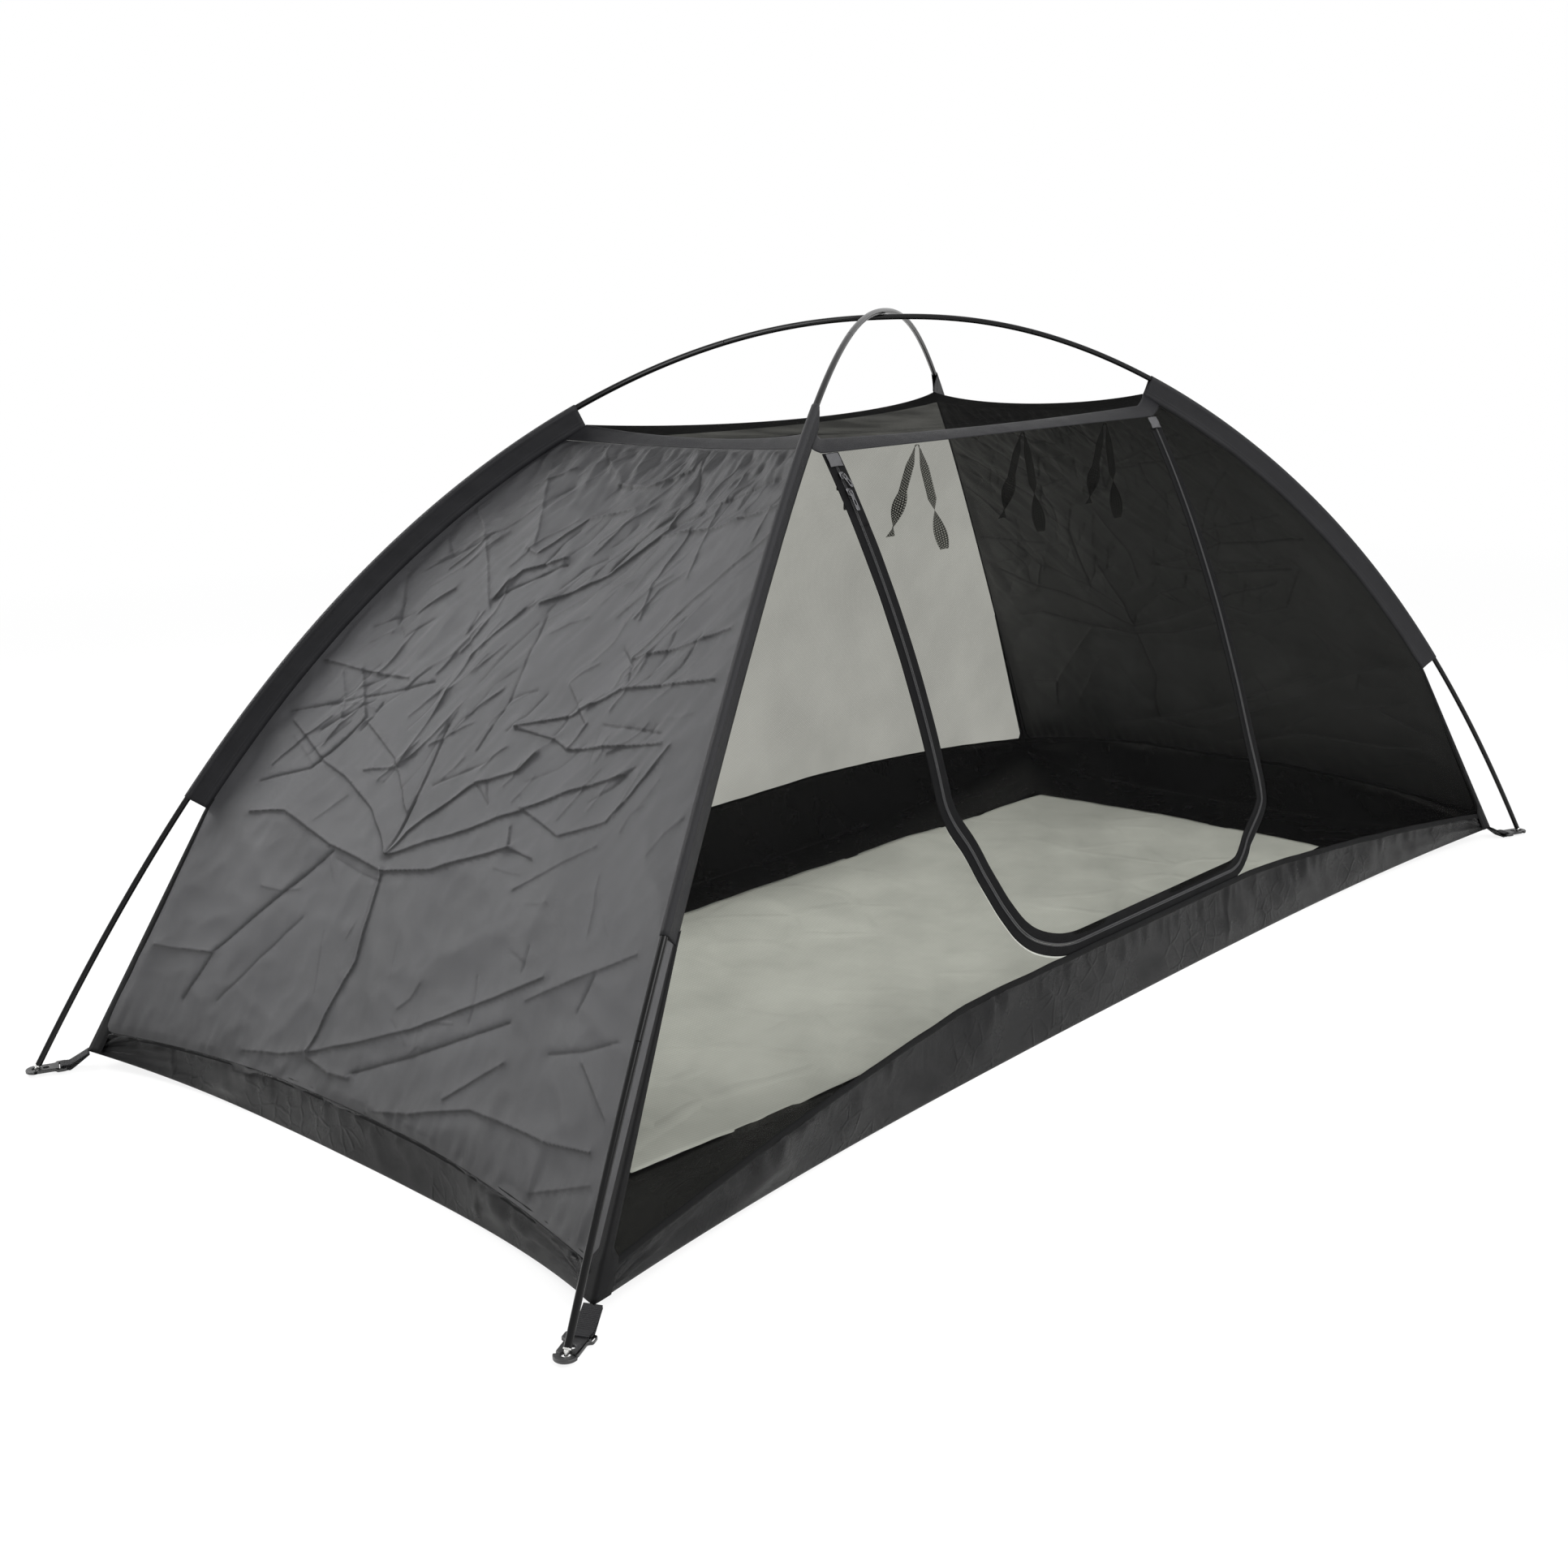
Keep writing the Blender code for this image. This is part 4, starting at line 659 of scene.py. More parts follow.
# and many short ones, drawn up towards the roof in the upper half and every way below
drawing = random.Random(11)
short_fold_count, short_folds_high = 150, 125
for count in range(short_fold_count):
    high = count < short_folds_high
    s, t = drawing.uniform(0.04, 0.92), drawing.uniform(0.45, 0.97) if high else drawing.uniform(0.04, 0.60)
    angle = math.radians(drawing.gauss(52, 16) if high else drawing.uniform(0, 180))
    long = drawing.uniform(0.025, 0.11)
    bend = drawing.uniform(-0.10, 0.10) * long
    sharp = drawing.uniform(0.25, 0.70) * drawing.choice((1, 1, -1))
    run = Vector((math.cos(angle), math.sin(angle))) * long
    line = [(s, t), (s + run.x / 2 - bend, t + run.y / 2 + bend), (s + run.x, t + run.y)]
    end_wall_folds.append((sharp * (1.0 if high else 0.6),
                           *[(min(max(x, 0.01), 0.99), min(y, 0.995)) for x, y in line]))
fold_height, steep_reach, gentle_reach = 0.0028, 0.0019, 0.0100
# Painted light along the creases: a dark line on each crease's shaded side and a pale line on its lit side.
dark_depth, dark_reach, pale_lift, pale_reach = 0.95, 0.0019, 0.36, 0.0036
shaded_side = (-0.6, -0.8)


def smooth_step(value, low, high):
    part = np.clip((value - low) / (high - low), 0, 1)
    return part * part * (3 - 2 * part)


def fade(shares, reach):
    """0 at both ends of a side, rising to 1 within a reach of each."""
    return smooth_step(shares, 0, reach) * smooth_step(1 - shares, 0, reach)


def noise_over(across, up, scale, seed):
    """Smooth noise over a field of points, about -1 to 1."""
    found = [noise.noise(Vector((x * scale, y * scale, seed))) for x, y in zip(across.ravel(), up.ravel())]
    return np.array(found).reshape(across.shape)


def press_folds(across, up, folds):
    """Height of sharp creases over a field of points, steep on their lower side, the painted shade and
    painted highlight that each crease gets on its shaded and its lit side, and the distance to the nearest
    crease."""
    total, painted_light_and_tone, closest = np.zeros_like(across), np.zeros_like(across), np.full(across.shape, 9.0)
    for sharp, *course in folds:
        nearest, lean = np.full(across.shape, 9.0), np.zeros_like(across)
        for (x0, y0), (x1, y1) in zip(course, course[1:]):
            run_x, run_y = x1 - x0, y1 - y0
            long = max(math.hypot(run_x, run_y), 1e-6)
            part = np.clip(((across - x0) * run_x + (up - y0) * run_y) / long ** 2, 0, 1)
            off_x, off_y = across - x0 - part * run_x, up - y0 - part * run_y
            distance = np.hypot(off_x, off_y)
            beside = (off_y * run_x - off_x * run_y) / (long * (distance + 1e-6))
            if shaded_side[1] * run_x - shaded_side[0] * run_y < 0:
                beside = -beside
            lean = np.where(distance < nearest, beside, lean)
            nearest = np.minimum(nearest, distance)
        steep = (1 + lean * math.copysign(1, sharp)) / 2
        total += sharp * np.exp(-nearest / (gentle_reach + (steep_reach - gentle_reach) * steep))
        strength = min(abs(sharp), 1.2)
        # Painted highlight beside the crest on the lit side, painted shade along the steep shaded side.
        pale = np.where(steep < 0.5, pale_lift * strength * np.exp(-nearest / pale_reach), 0.0)
        dark = -dark_depth * strength * steep * np.exp(-nearest / dark_reach)
        painted_light_and_tone = np.minimum(painted_light_and_tone, dark) + pale * (1 - 2 * np.minimum(steep, 0.5))
        closest = np.minimum(closest, nearest)
    return total * fold_height, np.clip(1 + painted_light_and_tone, 0.25, 1.5), closest


def grid_normals(grid):
    normal = np.cross(np.gradient(grid, axis=1), np.gradient(grid, axis=0))
    return normal / np.linalg.norm(normal, axis=2, keepdims=True)


def thicken(piece, thickness, offset=-1):
    """Give a sheet the thickness of its cloth."""
    choose(piece)
    cloth = piece.modifiers.new("cloth", "SOLIDIFY")
    cloth.thickness, cloth.offset = thickness, offset
    bpy.ops.object.modifier_apply(modifier="cloth")


def between(table, s, t):
    """Values of a table over the unit square at any places in it."""
    rows, columns = table.shape[0] - 1, table.shape[1] - 1
    column = np.minimum((s * columns).astype(int), columns - 1)
    row = np.minimum((t * rows).astype(int), rows - 1)
    shape = (-1,) + (1,) * (table.ndim - 2)
    x, y = (s * columns - column).reshape(shape), (t * rows - row).reshape(shape)
    low = table[row, column] * (1 - x) + table[row, column + 1] * x
    return low * (1 - y) + (table[row + 1, column] * (1 - x) + table[row + 1, column + 1] * x) * y


end_columns, end_rows, crease_zone = 190, 170, 0.0040
shares_s, shares_t = np.linspace(0, 1, end_columns + 1), np.linspace(0, 1, end_rows + 1)
for wall, flip in (("left", False), ("right", True)):
    grid = np.array([[wall_place(wall, s, t) for s in shares_s] for t in shares_t])
    across = grid[:, :, 1] * (-1 if flip else 1)
    up = lengths_along(grid[:, end_columns // 2])[:, None] + np.zeros_like(across)
    courses = []
    for sharp, *course in end_wall_folds:
        if flip:
            course = [(1 - s, min(t * 0.92 + 0.05, 1.0)) for s, t in course]
        s, t = np.array(course).T
        courses.append((sharp * (0.7 if flip else 1.0), *zip(between(across, s, t), between(up, s, t))))
    cloth = bmesh.new()
    rows = [[cloth.verts.new((s, t, 0)) for s in shares_s] for t in shares_t]
    for low, top in zip(rows, rows[1:]):
        for index in range(end_columns):
            cloth.faces.new((low[index], low[index + 1], top[index + 1], top[index]))
    middles = np.array([(edge.verts[0].co + edge.verts[1].co)[:2] for edge in cloth.edges]) / 2
    far = press_folds(between(across, *middles.T), between(up, *middles.T), courses)[2]
    near_folds = [edge for edge, distance in zip(cloth.edges, far) if distance < crease_zone]
    bmesh.ops.subdivide_edges(cloth, edges=near_folds, cuts=2, use_grid_fill=True)
    mesh = bpy.data.meshes.new(f"end_wall_{wall}_taffeta")
    cloth.to_mesh(mesh)
    cloth.free()
    s, t = np.array([vert.co[:2] for vert in mesh.vertices]).clip(0, 1).T
    x, y = between(across, s, t), between(up, s, t)
    height, painted_light_and_tone = press_folds(x, y, courses)[:2]
    from_top = up.max() - y
    height += 0.0070 * noise_over(x, y, 4.5, 6.3 if flip else 8.4)
    height += 0.0045 * (0.35 - np.abs(noise_over(x, y, 11.0, 3.1 if flip else 1.7)))
    height += 0.0018 * (0.3 - np.abs(noise_over(x, y, 27.0, 5.5)))
    slant = (0.866 * x + 0.5 * y, 0.2 * (0.866 * y - 0.5 * x))
    drawn = 0.0060 * (0.3 - np.abs(noise_over(*slant, 22.0, 4.4)))
    drawn += 0.0026 * (0.3 - np.abs(noise_over(*slant, 55.0, 8.1)))
    height += drawn * smooth_step(y / up.max(), 0.25, 0.70)
    gathers = noise_over(x, y * 0.15, 62.0, 2.2) + 0.6 * noise_over(x, y * 0.25, 120.0, 7.9)
    height += 0.0085 * gathers * np.exp(-from_top / 0.060) + 0.0030 * gathers * np.exp(-y / 0.035)
    # Painted shade: the tone darkens towards the roof trim and the band, where the gathers shade the cloth;
    # then it varies at random in upright streaks.
    painted_light_and_tone *= 1 - 0.62 * np.exp(-from_top / 0.140) - 0.60 * np.exp(-y / 0.070)
    painted_light_and_tone *= 1 + 0.16 * noise_over(x, y * 0.12, 13.0, 6.6) + 0.03 * noise_over(x, y * 0.2, 45.0, 2.9)
    height *= fade(s, 0.03) * fade(t, 0.012)
    normal = grid_normals(grid)
    toward = 1 if normal[0, 0] @ np.array(wall_outward[wall]) > 0 else -1
    placed = between(grid, s, t) + between(normal, s, t) * (height * toward)[:, None]
    mesh.vertices.foreach_set("co", placed.ravel())
    if toward < 0:
        mesh.flip_normals()
    mesh.shade_smooth()
    corners = np.empty(len(mesh.loops), dtype=int)
    mesh.loops.foreach_get("vertex_index", corners)
    mesh.uv_layers.new(name="cloth").data.foreach_set("uv", np.stack([x, y], axis=1)[corners].ravel())
    # The crease attribute carries the painted light and shade of the folds and seams into the taffeta.
    mesh.attributes.new("crease", "FLOAT", "POINT").data.foreach_set("value", painted_light_and_tone.astype(np.float32))
    panel = link_mesh(mesh)
    finish_piece(panel, taffeta, "tent", f"end_wall_{wall}", slot="wall_fabric")

# Net panels: black polyester mosquito netting, knitted in hexagons, one panel at the rear, one on
# each side of the door, the door itself and the roof. Each is sewn in flat and hangs almost smooth.
net_pitch = 0.0017


def netting(name, pitch, thread_alpha, hole_alpha, colour):
    """Warp knitted hexagonal net: threads round staggered holes, softer than the eye can part."""
    made, tree = new_material(name)
    place = add_node(tree, "UVMap", uv_map="cloth")
    threads = None
    for angle in map(math.radians, (0, 60, 120)):
        way = (2 * math.pi / pitch * math.cos(angle), 2 * math.pi / pitch * math.sin(angle), 0)
        run = add_node(tree, "VectorMath", {0: place, 1: way}, operation="DOT_PRODUCT").outputs["Value"]
        wave = add_node(tree, "Math", {0: run}, operation="COSINE")
        threads = add_node(tree, "Math", {0: wave, 1: threads}, operation="ADD") if threads else wave
    cover = add_node(tree, "MapRange", {"From Min": -0.4, "From Max": 1.2, "To Min": thread_alpha,
                                        "To Max": hole_alpha, "Value": threads})
    drift = add_node(tree, "TexNoise", {"Scale": 7.0, "Detail": 3.0, "Vector": place}, noise_dimensions="2D")
    veil = add_node(tree, "MapRange", {"From Min": 0.3, "From Max": 0.7, "To Min": 0.94, "To Max": 1.06,
                                       "Value": drift})
    cover = add_node(tree, "Math", {0: cover, 1: veil}, operation="MULTIPLY")
    yarn = add_node(tree, "BsdfPrincipled", {"Base Color": linear(colour), "Roughness": 0.8,
                                             "Specular IOR Level": 0.0})
    hole = add_node(tree, "BsdfTransparent", {"Color": linear("#FFFFFA")})
    add_node(tree, "OutputMaterial", {"Surface": add_node(tree, "MixShader", {0: cover, 1: hole, 2: yarn})})
    return made


net = netting("hexagonal_mosquito_net", net_pitch, 0.48, 0.32, "#121212")

# The door's upright profile is an arc from its foot to its head, and the front wall follows it
door_top_height = 0.756
door_edges, inward = {"left": -0.346, "right": 0.367}, {"left": 1, "right": -1}
arc_radius, arc_centre_depth, arc_centre_height = 1.5098, -1.09085, -0.02907
zip_half_width = 0.0006 + 0.0024 + 0.0120
zip_edge_gap, net_under_tape = 0.0003, 0.006
zip_corner_radii = {"left": 0.240, "right": 0.090}
zone_left = door_edges["left"] - zip_half_width - zip_edge_gap
zone_right = door_edges["right"] + zip_half_width + zip_edge_gap


def arc_length_at(height):
    return arc_radius * math.asin((height - arc_centre_height) / arc_radius)


def door_surface(across, up, out=0.0):
    """A point on the front wall's arc: metres across, metres up along the arc, metres outwards."""
    angle, reach = up / arc_radius, arc_radius + out
    return Vector((across, -(arc_centre_depth + reach * math.cos(angle)),
                   arc_centre_height + reach * math.sin(angle)))


def door_depth(height):
    return arc_centre_depth + math.sqrt(arc_radius ** 2 - (height - arc_centre_height) ** 2)


up_top = arc_length_at(door_top_height)
up_bottom = arc_length_at(band_heights["front"] + 2 * seam_gap) + zip_half_width


def front_point(across, height):
    """A point of the front wall: the door's arc, and straight on to the seams beside it."""
    place = Vector((across, -door_depth(height), height))
    if zone_left <= across <= zone_right:
        return place
    leg, near = ("front_left", zone_left) if across < zone_left else ("front_right", zone_right)
    seam = seam_at(leg, height)
    return place.lerp(Vector((across, seam.y, height)), (across - near) / (seam.x - near))


# How far the sewn zip strays from its U, in metres across, at shares of its way down each side
zip_strays = {
    "left": ((0.0, 0.0), (0.58, 0.0), (0.60, 0.012), (0.635, 0.024), (0.695, 0.027), (0.757, 0.023),
             (0.845, 0.008), (1.0, 0.0)),
    "right": ((0.0, 0.011), (0.10, 0.005), (0.20, 0.0), (0.33, -0.003), (0.45, 0.002), (0.50, 0.010),
              (0.55, 0.020), (0.61, 0.010), (0.67, -0.007), (0.73, -0.018), (0.81, -0.014), (0.90, -0.005),
              (1.0, 0.0)),
}
straight_share = 0.55


def zip_path(side, part, top):
    """A place on one side of the zip, across and up, from its top (0) to the end of its corner (1)."""
    edge, sign, radius = door_edges[side], inward[side], zip_corner_radii[side]
    corner_up = up_bottom + radius
    shares, strays = zip(*zip_strays[side])
    stray = float(np.interp(part + np.linspace(-0.03, 0.03, 13), shares, strays).mean())
    ripple = 0.0016 * noise.noise(Vector((part * 17, 5.0, sign))) * min(max(part * 9 - 5.0, 0.0), 1.0)
    stray += ripple * min((1 - part) * 5, 1.0)
    if part <= straight_share:
        return edge + stray, top + (corner_up - top) * part / straight_share
    angle = math.pi / 2 * (part - straight_share) / (1 - straight_share)
    return edge + sign * radius * (1 - math.cos(angle)) + stray, corner_up - radius * math.sin(angle)


def zip_station(side, part, top):
    """A place on one side of the zip and the direction square to it, out from the door."""
    before, after = zip_path(side, max(part - 0.006, 0.0), top), zip_path(side, min(part + 0.006, 1.0), top)
    run = Vector((after[0] - before[0], after[1] - before[1])).normalized()
    if part >= 0.994:
        run = Vector((inward[side], 0))
    return *zip_path(side, part, top), inward[side] * run.y, -inward[side] * run.x


def zip_offset(station, out):
    """Place across and up of a point beside the zip, out from the door by a distance."""
    across, up, out_across, out_up = station
    return across + out_across * out, up + out_up * out


def front_net_point(side, s, t):
    """The net between a seam and the zip, cut to the band, the door head and the U's corner."""
    low_x, high_x = seam_at("front_left", wall_foot_height).x, seam_at("front_right", wall_foot_height).x

    def course(part):
        height = wall_foot_height + seam_gap + (wall_top_height - wall_foot_height - 2 * seam_gap) * part
        seam = Vector((seam_at(f"front_{side}", height).x + inward[side] * corner_gap, height))
        station = zip_station(side, (1 - part) * 0.96, up_top)
        return seam.lerp(door_surface(*zip_offset(station, zip_half_width + zip_edge_gap)).xz, s)

    low, high = course(0), course(1)
    share = min(max((low.x - low_x) / (high_x - low_x), 0.0), 1.0)
    foot = Vector((low.x, band_top("front", share) + 2 * seam_gap))
    return front_point(*(course(t) + foot.lerp(high, t) - low.lerp(high, t)))


def door_point(s, t):
    left, right = (Vector(zip_offset(zip_station(side, 1 - t, up_top - seam_gap), -net_under_tape))
                   for side in ("left", "right"))
    return door_surface(*left.lerp(right, s))


def net_panel(name, columns, rows, place, outward, waver):
    """A net panel with faint slack waves that die out at its edges."""
    shares_s, shares_t = np.linspace(0, 1, columns + 1), np.linspace(0, 1, rows + 1)
    grid = np.array([[place(s, t) for s in shares_s] for t in shares_t])
    slack = waver * noise_over(grid[:, :, 0], grid[:, :, 2] + grid[:, :, 1], 5.0, len(name))
    slack *= fade(shares_s, 0.12)[None, :] * fade(shares_t, 0.08)[:, None]
    grid = grid + grid_normals(grid) * slack[:, :, None]
    if abs(outward[2]) > 0.5:
        flat = grid[:, :, :2]
    else:
        steps = np.diff(grid[:, :, 1:], axis=0, prepend=grid[:1, :, 1:])
        up = np.cumsum(np.linalg.norm(steps, axis=2), axis=0)
        flat = np.stack([grid[:, :, 0], up + grid[:1, :, 2]], axis=2)
    return skin(name, grid, flat=flat, outward=outward)


for side, area in (("left", 0.30), ("right", 0.28)):
    panel = net_panel(f"front_net_{side}_mesh", 40, 90, lambda s, t: front_net_point(side, s, t),
                      wall_outward["front"], 0.002)
    finish_piece(panel, net, "tent", f"front_net_{side}", slot="net")

door = net_panel("door_net_mesh", 80, 110, door_point, wall_outward["front"], 0.003)
finish_piece(door, net, "door", "door_net", slot="net")

rear = net_panel("rear_net_mesh", 120, 70, lambda s, t: wall_place("rear", s, t), wall_outward["rear"], 0.004)
finish_piece(rear, net, "tent", "rear_net", slot="net")

# Roof trim: strips of the walls' taffeta sewn into a ring on top of the walls, and the roof net
# sewn inside it. The strips are 20 to 25 mm wide and lie flat, with a row of stitching each side.
trim_corner_height, trim_middle_depth, trim_middle_rise = 0.786, 0.024, 0.010


def trim_outer(wall, share):
    if wall != "front":
        return wall_point(wall, share, wall_top(share))
    left, right = (seam_at(leg, wall_top_height) for leg in wall_legs["front"])
    across = left.x + corner_gap + (right.x - left.x - 2 * corner_gap) * share
    near, seam = (zone_left, left) if across < zone_left else (zone_right, right)
    part = 0.0 if zone_left <= across <= zone_right else (across - near) / (seam.x - near)
    return front_point(across, door_top_height + (wall_top_height - door_top_height) * part)


def trim_inner(wall, share):
    corners = [seam_at(leg, trim_corner_height) for leg in wall_legs[wall]]
    inset = corner_gap / (corners[1] - corners[0]).length
    ends = [corners[0].lerp(corners[1], inset), corners[0].lerp(corners[1], 1 - inset)]
    rises = [end - trim_outer(wall, place) for end, place in zip(ends, (0, 1))]
    middle = Vector((0, 0, trim_middle_rise)) - wall_outward[wall] * trim_middle_depth
    return trim_outer(wall, share) + rises[0].lerp(rises[1], share).lerp(middle, hump(share))


trim_cloth = woven("polyester_taffeta_tape", "#18181A", 0.0008, 0.44, 0.12, 14.0,
                   stitches=((0.002, 0.0035), (0.0215, 0.0035)))
trim_width, trim_steps = 0.0235, 80
ring, ring_flat, run = [], [], 0.0
for wall in wall_legs:
    for share in (step / trim_steps for step in range(trim_steps + 1)):
        outer, inner = trim_outer(wall, share), trim_inner(wall, share)
        if ring:
            run += (outer - Vector(ring[-1][0])).length
        row = []
        for part in np.linspace(0, 1, 9):
            pucker = 0.0006 * noise.noise(Vector((run * 60, part * 2, 4.0)))
            rise = (0.0010 + pucker) * math.sin(math.pi * part)
            row.append(outer.lerp(inner, part) + Vector((0, 0, rise)) + wall_outward[wall] * 0.0004)
        ring.append(row)
        ring_flat.append([(part * trim_width, run) for part in np.linspace(0, 1, 9)])
trim = skin("roof_trim_tape", ring, flat=np.array(ring_flat), outward=Z)
thicken(trim, 0.0005)
finish_piece(trim, trim_cloth, "tent", "roof_trim", slot="wall_fabric")

roof_inset, roof_sag = -0.003, 0.010


def roof_point(s, t):
    front, rear = trim_inner("front", s), trim_inner("rear", 1 - s)
    left, right = trim_inner("left", 1 - t), trim_inner("right", t)
    corners = [trim_inner(wall, share) for wall in ("front", "rear") for share in (0, 1)]
    blend = front.lerp(rear, t) + left.lerp(right, s)
    blend -= corners[0].lerp(corners[1], s).lerp(corners[3].lerp(corners[2], s), t)
    weights = hump(s), hump(t)
    share = weights[0] / sum(weights) if sum(weights) > 0 else 0.5
    height = front.lerp(rear, t).z * share + left.lerp(right, s).z * (1 - share)
    grow = 1 - roof_inset / corners[0].xy.length
    return Vector((blend.x * grow, blend.y * grow, height - 2 * seam_gap - roof_sag * hump(s) * hump(t)))


roof_net = netting("hexagonal_mosquito_net_doubled", net_pitch, 0.96, 0.78, "#121212")
roof = net_panel("roof_net_mesh", 90, 50, roof_point, Z, 0.002)
finish_piece(roof, roof_net, "tent", "roof_net", slot="net")

# Sleeves: strips of taffeta folded over the pole from a quarter of the way up, both edges sewn into
# the seam between two walls. The cloth is puckered by its seam and lies close on the rod.
sleeve_cloth = woven("polyester_taffeta_sleeve", "#1A1A1C", 0.0008, 0.44, 0.14, 16.0,
                     stitches=((0.0020, 0.0035), (0.0060, 0.0035), (0.0675, 0.0035), (0.0635, 0.0035)))
sleeve_radius = pole_diameter / 2 + 0.0009
sleeve_skirt = [(0.0006, sleeve_depth + 0.001), (0.0009, 0.0235), (0.0016, 0.017), (0.0027, 0.011),
                (0.0036, 0.006)]
sleeve_profile = sleeve_skirt + [(sleeve_radius * math.cos(angle), -sleeve_radius * math.sin(angle))
                                 for angle in map(math.radians, range(-30, 211, 20))]
sleeve_profile += [(-x, y) for x, y in sleeve_skirt[::-1]]
for leg, (side_x, side_y, pole) in legs.items():
    lengths = sleeve_run(leg, 121)
    sections = []
    for distance in lengths:
        centre, along, side, down = leg_frame(leg, distance)
        row = []
        for x, y in sleeve_profile:
            free = hump(max(y, 0) / sleeve_depth)
            ripple = 0.0011 * free * noise.noise(Vector((distance * 38, y * 30, side_x * 3 + side_y)))
            pinch = 0.0004 * noise.noise(Vector((distance * 110, x * 400, 7.0))) * min(free + 0.25, 1)
            row.append(centre + side * (x + ripple + math.copysign(pinch, pinch * x)) + down * y)
        sections.append(row)
    strip = skin(f"sleeve_{leg}_cloth", sections)
    thicken(strip, 0.0004, 0)
    finish_piece(strip, sleeve_cloth, "tent", f"sleeve_{leg}", slot="wall_fabric")

# Bathtub bands: coated polyester, flat on the ground as a flange and folded up to the walls. They
# are gathered a little at the top seam, and joined by upright double-stitched seams.
ground_bow = {"front": 0.071, "right": 0.057, "rear": 0.071, "left": 0.057}
floor_half_length, floor_half_width = 0.800, 0.285
floor_bow = {"front": 0.030, "right": 0.020, "rear": 0.030, "left": 0.020}
floor_corners = {leg: Vector((side_x * floor_half_length, side_y * floor_half_width, 0))
                 for leg, (side_x, side_y, pole) in legs.items()}
band_joins = {"front": (0.27,), "right": (0.25, -0.33), "rear": (-0.30,), "left": (0.35, -0.25)}
band_columns = {"front": 640, "right": 420, "rear": 640, "left": 420}


def ground_edge(wall, share):
    first, second = wall_legs[wall]
    reach = abs(2 * share - 1) ** 3
    point = body_corner(first).lerp(body_corner(second), share)
    point -= wall_outward[wall] * (ground_bow[wall] * (1 - reach))
    point.z = body_corner_height * reach
    return point


def floor_edge(wall, share, gap=0.0):
    first, second = wall_legs[wall]
    point = floor_corners[first].lerp(floor_corners[second], share)
    return point + wall_outward[wall] * (floor_bow[wall] * hump(share) + gap)


def band_point(wall, s, t):
    """The band from its inner edge (t 0) over its fold on the ground (0.5) to its top seam (1)."""
    first, second = wall_legs[wall]
    inset = (0.0002 - 0.0040 * max(1 - 2 * t, 0.0)) / (body_corner(second) - body_corner(first)).length
    part = inset + s * (1 - 2 * inset)
    inner, fold = floor_edge(wall, part, seam_gap), ground_edge(wall, part)
    if wall == "front":
        left, right = (seam_at(leg, wall_foot_height).x for leg in wall_legs[wall])
        top = front_point(left + (right - left) * part, band_top(wall, part))
    else:
        top = wall_point(wall, s, band_top(wall, s))
    return inner.lerp(fold, t * 2) if t <= 0.5 else fold.lerp(top, t * 2 - 1)


shares_t = np.concatenate([np.linspace(0, 0.47, 9), [0.485, 0.5, 0.52, 0.545], np.linspace(0.58, 1, 16)])
flange_rows, fold_row = 9, 12
upright = (smooth_step(shares_t, 0.5, 0.7) * (1 - smooth_step(shares_t, 0.93, 1.0)))[:, None]
gathered = (smooth_step(shares_t, 0.7, 0.97) * (1 - smooth_step(shares_t, 0.985, 1.0)))[:, None]
for wall, columns in band_columns.items():
    shares_s = np.linspace(0, 1, columns + 1)
    grid = np.array([[band_point(wall, s, t) for s in shares_s] for t in shares_t])
    along = lengths_along(grid[-1])[None, :] + np.zeros(grid.shape[:2])
    up = np.cumsum(np.linalg.norm(np.diff(grid, axis=0, prepend=grid[:1]), axis=2), axis=0)
    height = 0.0075 * noise_over(along - 0.9 * up, up * 0.5, 8.0, 3.7)
    height += 0.0024 * noise_over(along + 0.6 * up, up * 0.4, 30.0, 9.1)
    height = height * upright + 0.0032 * noise_over(along, up * 0.15, 70.0, 1.3) * gathered
    from_corner = np.minimum(along, along.max() - along)
    fan = np.arctan2(up - up[fold_row], from_corner + 0.004)
    spread = 0.15 * from_corner + along / along.max()
    drawn = noise_over(fan, spread, 6.0, 4.8) + 0.5 * noise_over(fan, spread, 13.0, 7.2)
    height += 0.0120 * drawn * (np.exp(-from_corner / 0.13) * smooth_step(from_corner, 0.0, 0.05)) * upright
    axis = 0 if wall in ("front", "rear") else 1
    rows_of_stitches = []
    for place in band_joins[wall]:
        height += 0.0016 * np.clip(1.6 - np.abs(grid[:, :, axis] - place) / 0.0045, 0, 1) * upright
        order = np.argsort(grid[-1, :, axis])
        run = float(np.interp(place, grid[-1, order, axis], along[-1, order]))
        rows_of_stitches += [(run - 0.004, 0.004), (run + 0.004, 0.004)]
    coated = woven(f"coated_polyester_{wall}", "#0A0A0B", 0.0010, 0.24, 0.13, 12.0,
                   stitches=rows_of_stitches, crinkle=(40.0, 0.0008))
    height *= fade(shares_s, 0.02)[None, :]
    facing = np.cross(grid[-3, 1] - grid[-3, 0], grid[-2, 0] - grid[-3, 0]) @ np.array(wall_outward[wall])
    grid = grid + grid_normals(grid) * (height * (1 if facing > 0 else -1))[:, :, None]
    flange = grid[:flange_rows]
    flange[:, :, 2] += 0.0005 + 0.0012 * (1 + noise_over(flange[:, :, 0], flange[:, :, 1], 16.0, 2.0))
    grid[:, :, 2] = np.maximum(grid[:, :, 2], 0.0004)
    band = skin(f"band_{wall}_cloth", grid, flat=np.stack([along, up], axis=2), outward=wall_outward[wall])
    thicken(band, 0.0004)
    finish_piece(band, coated, "tent", f"band_{wall}", slot="band_fabric")

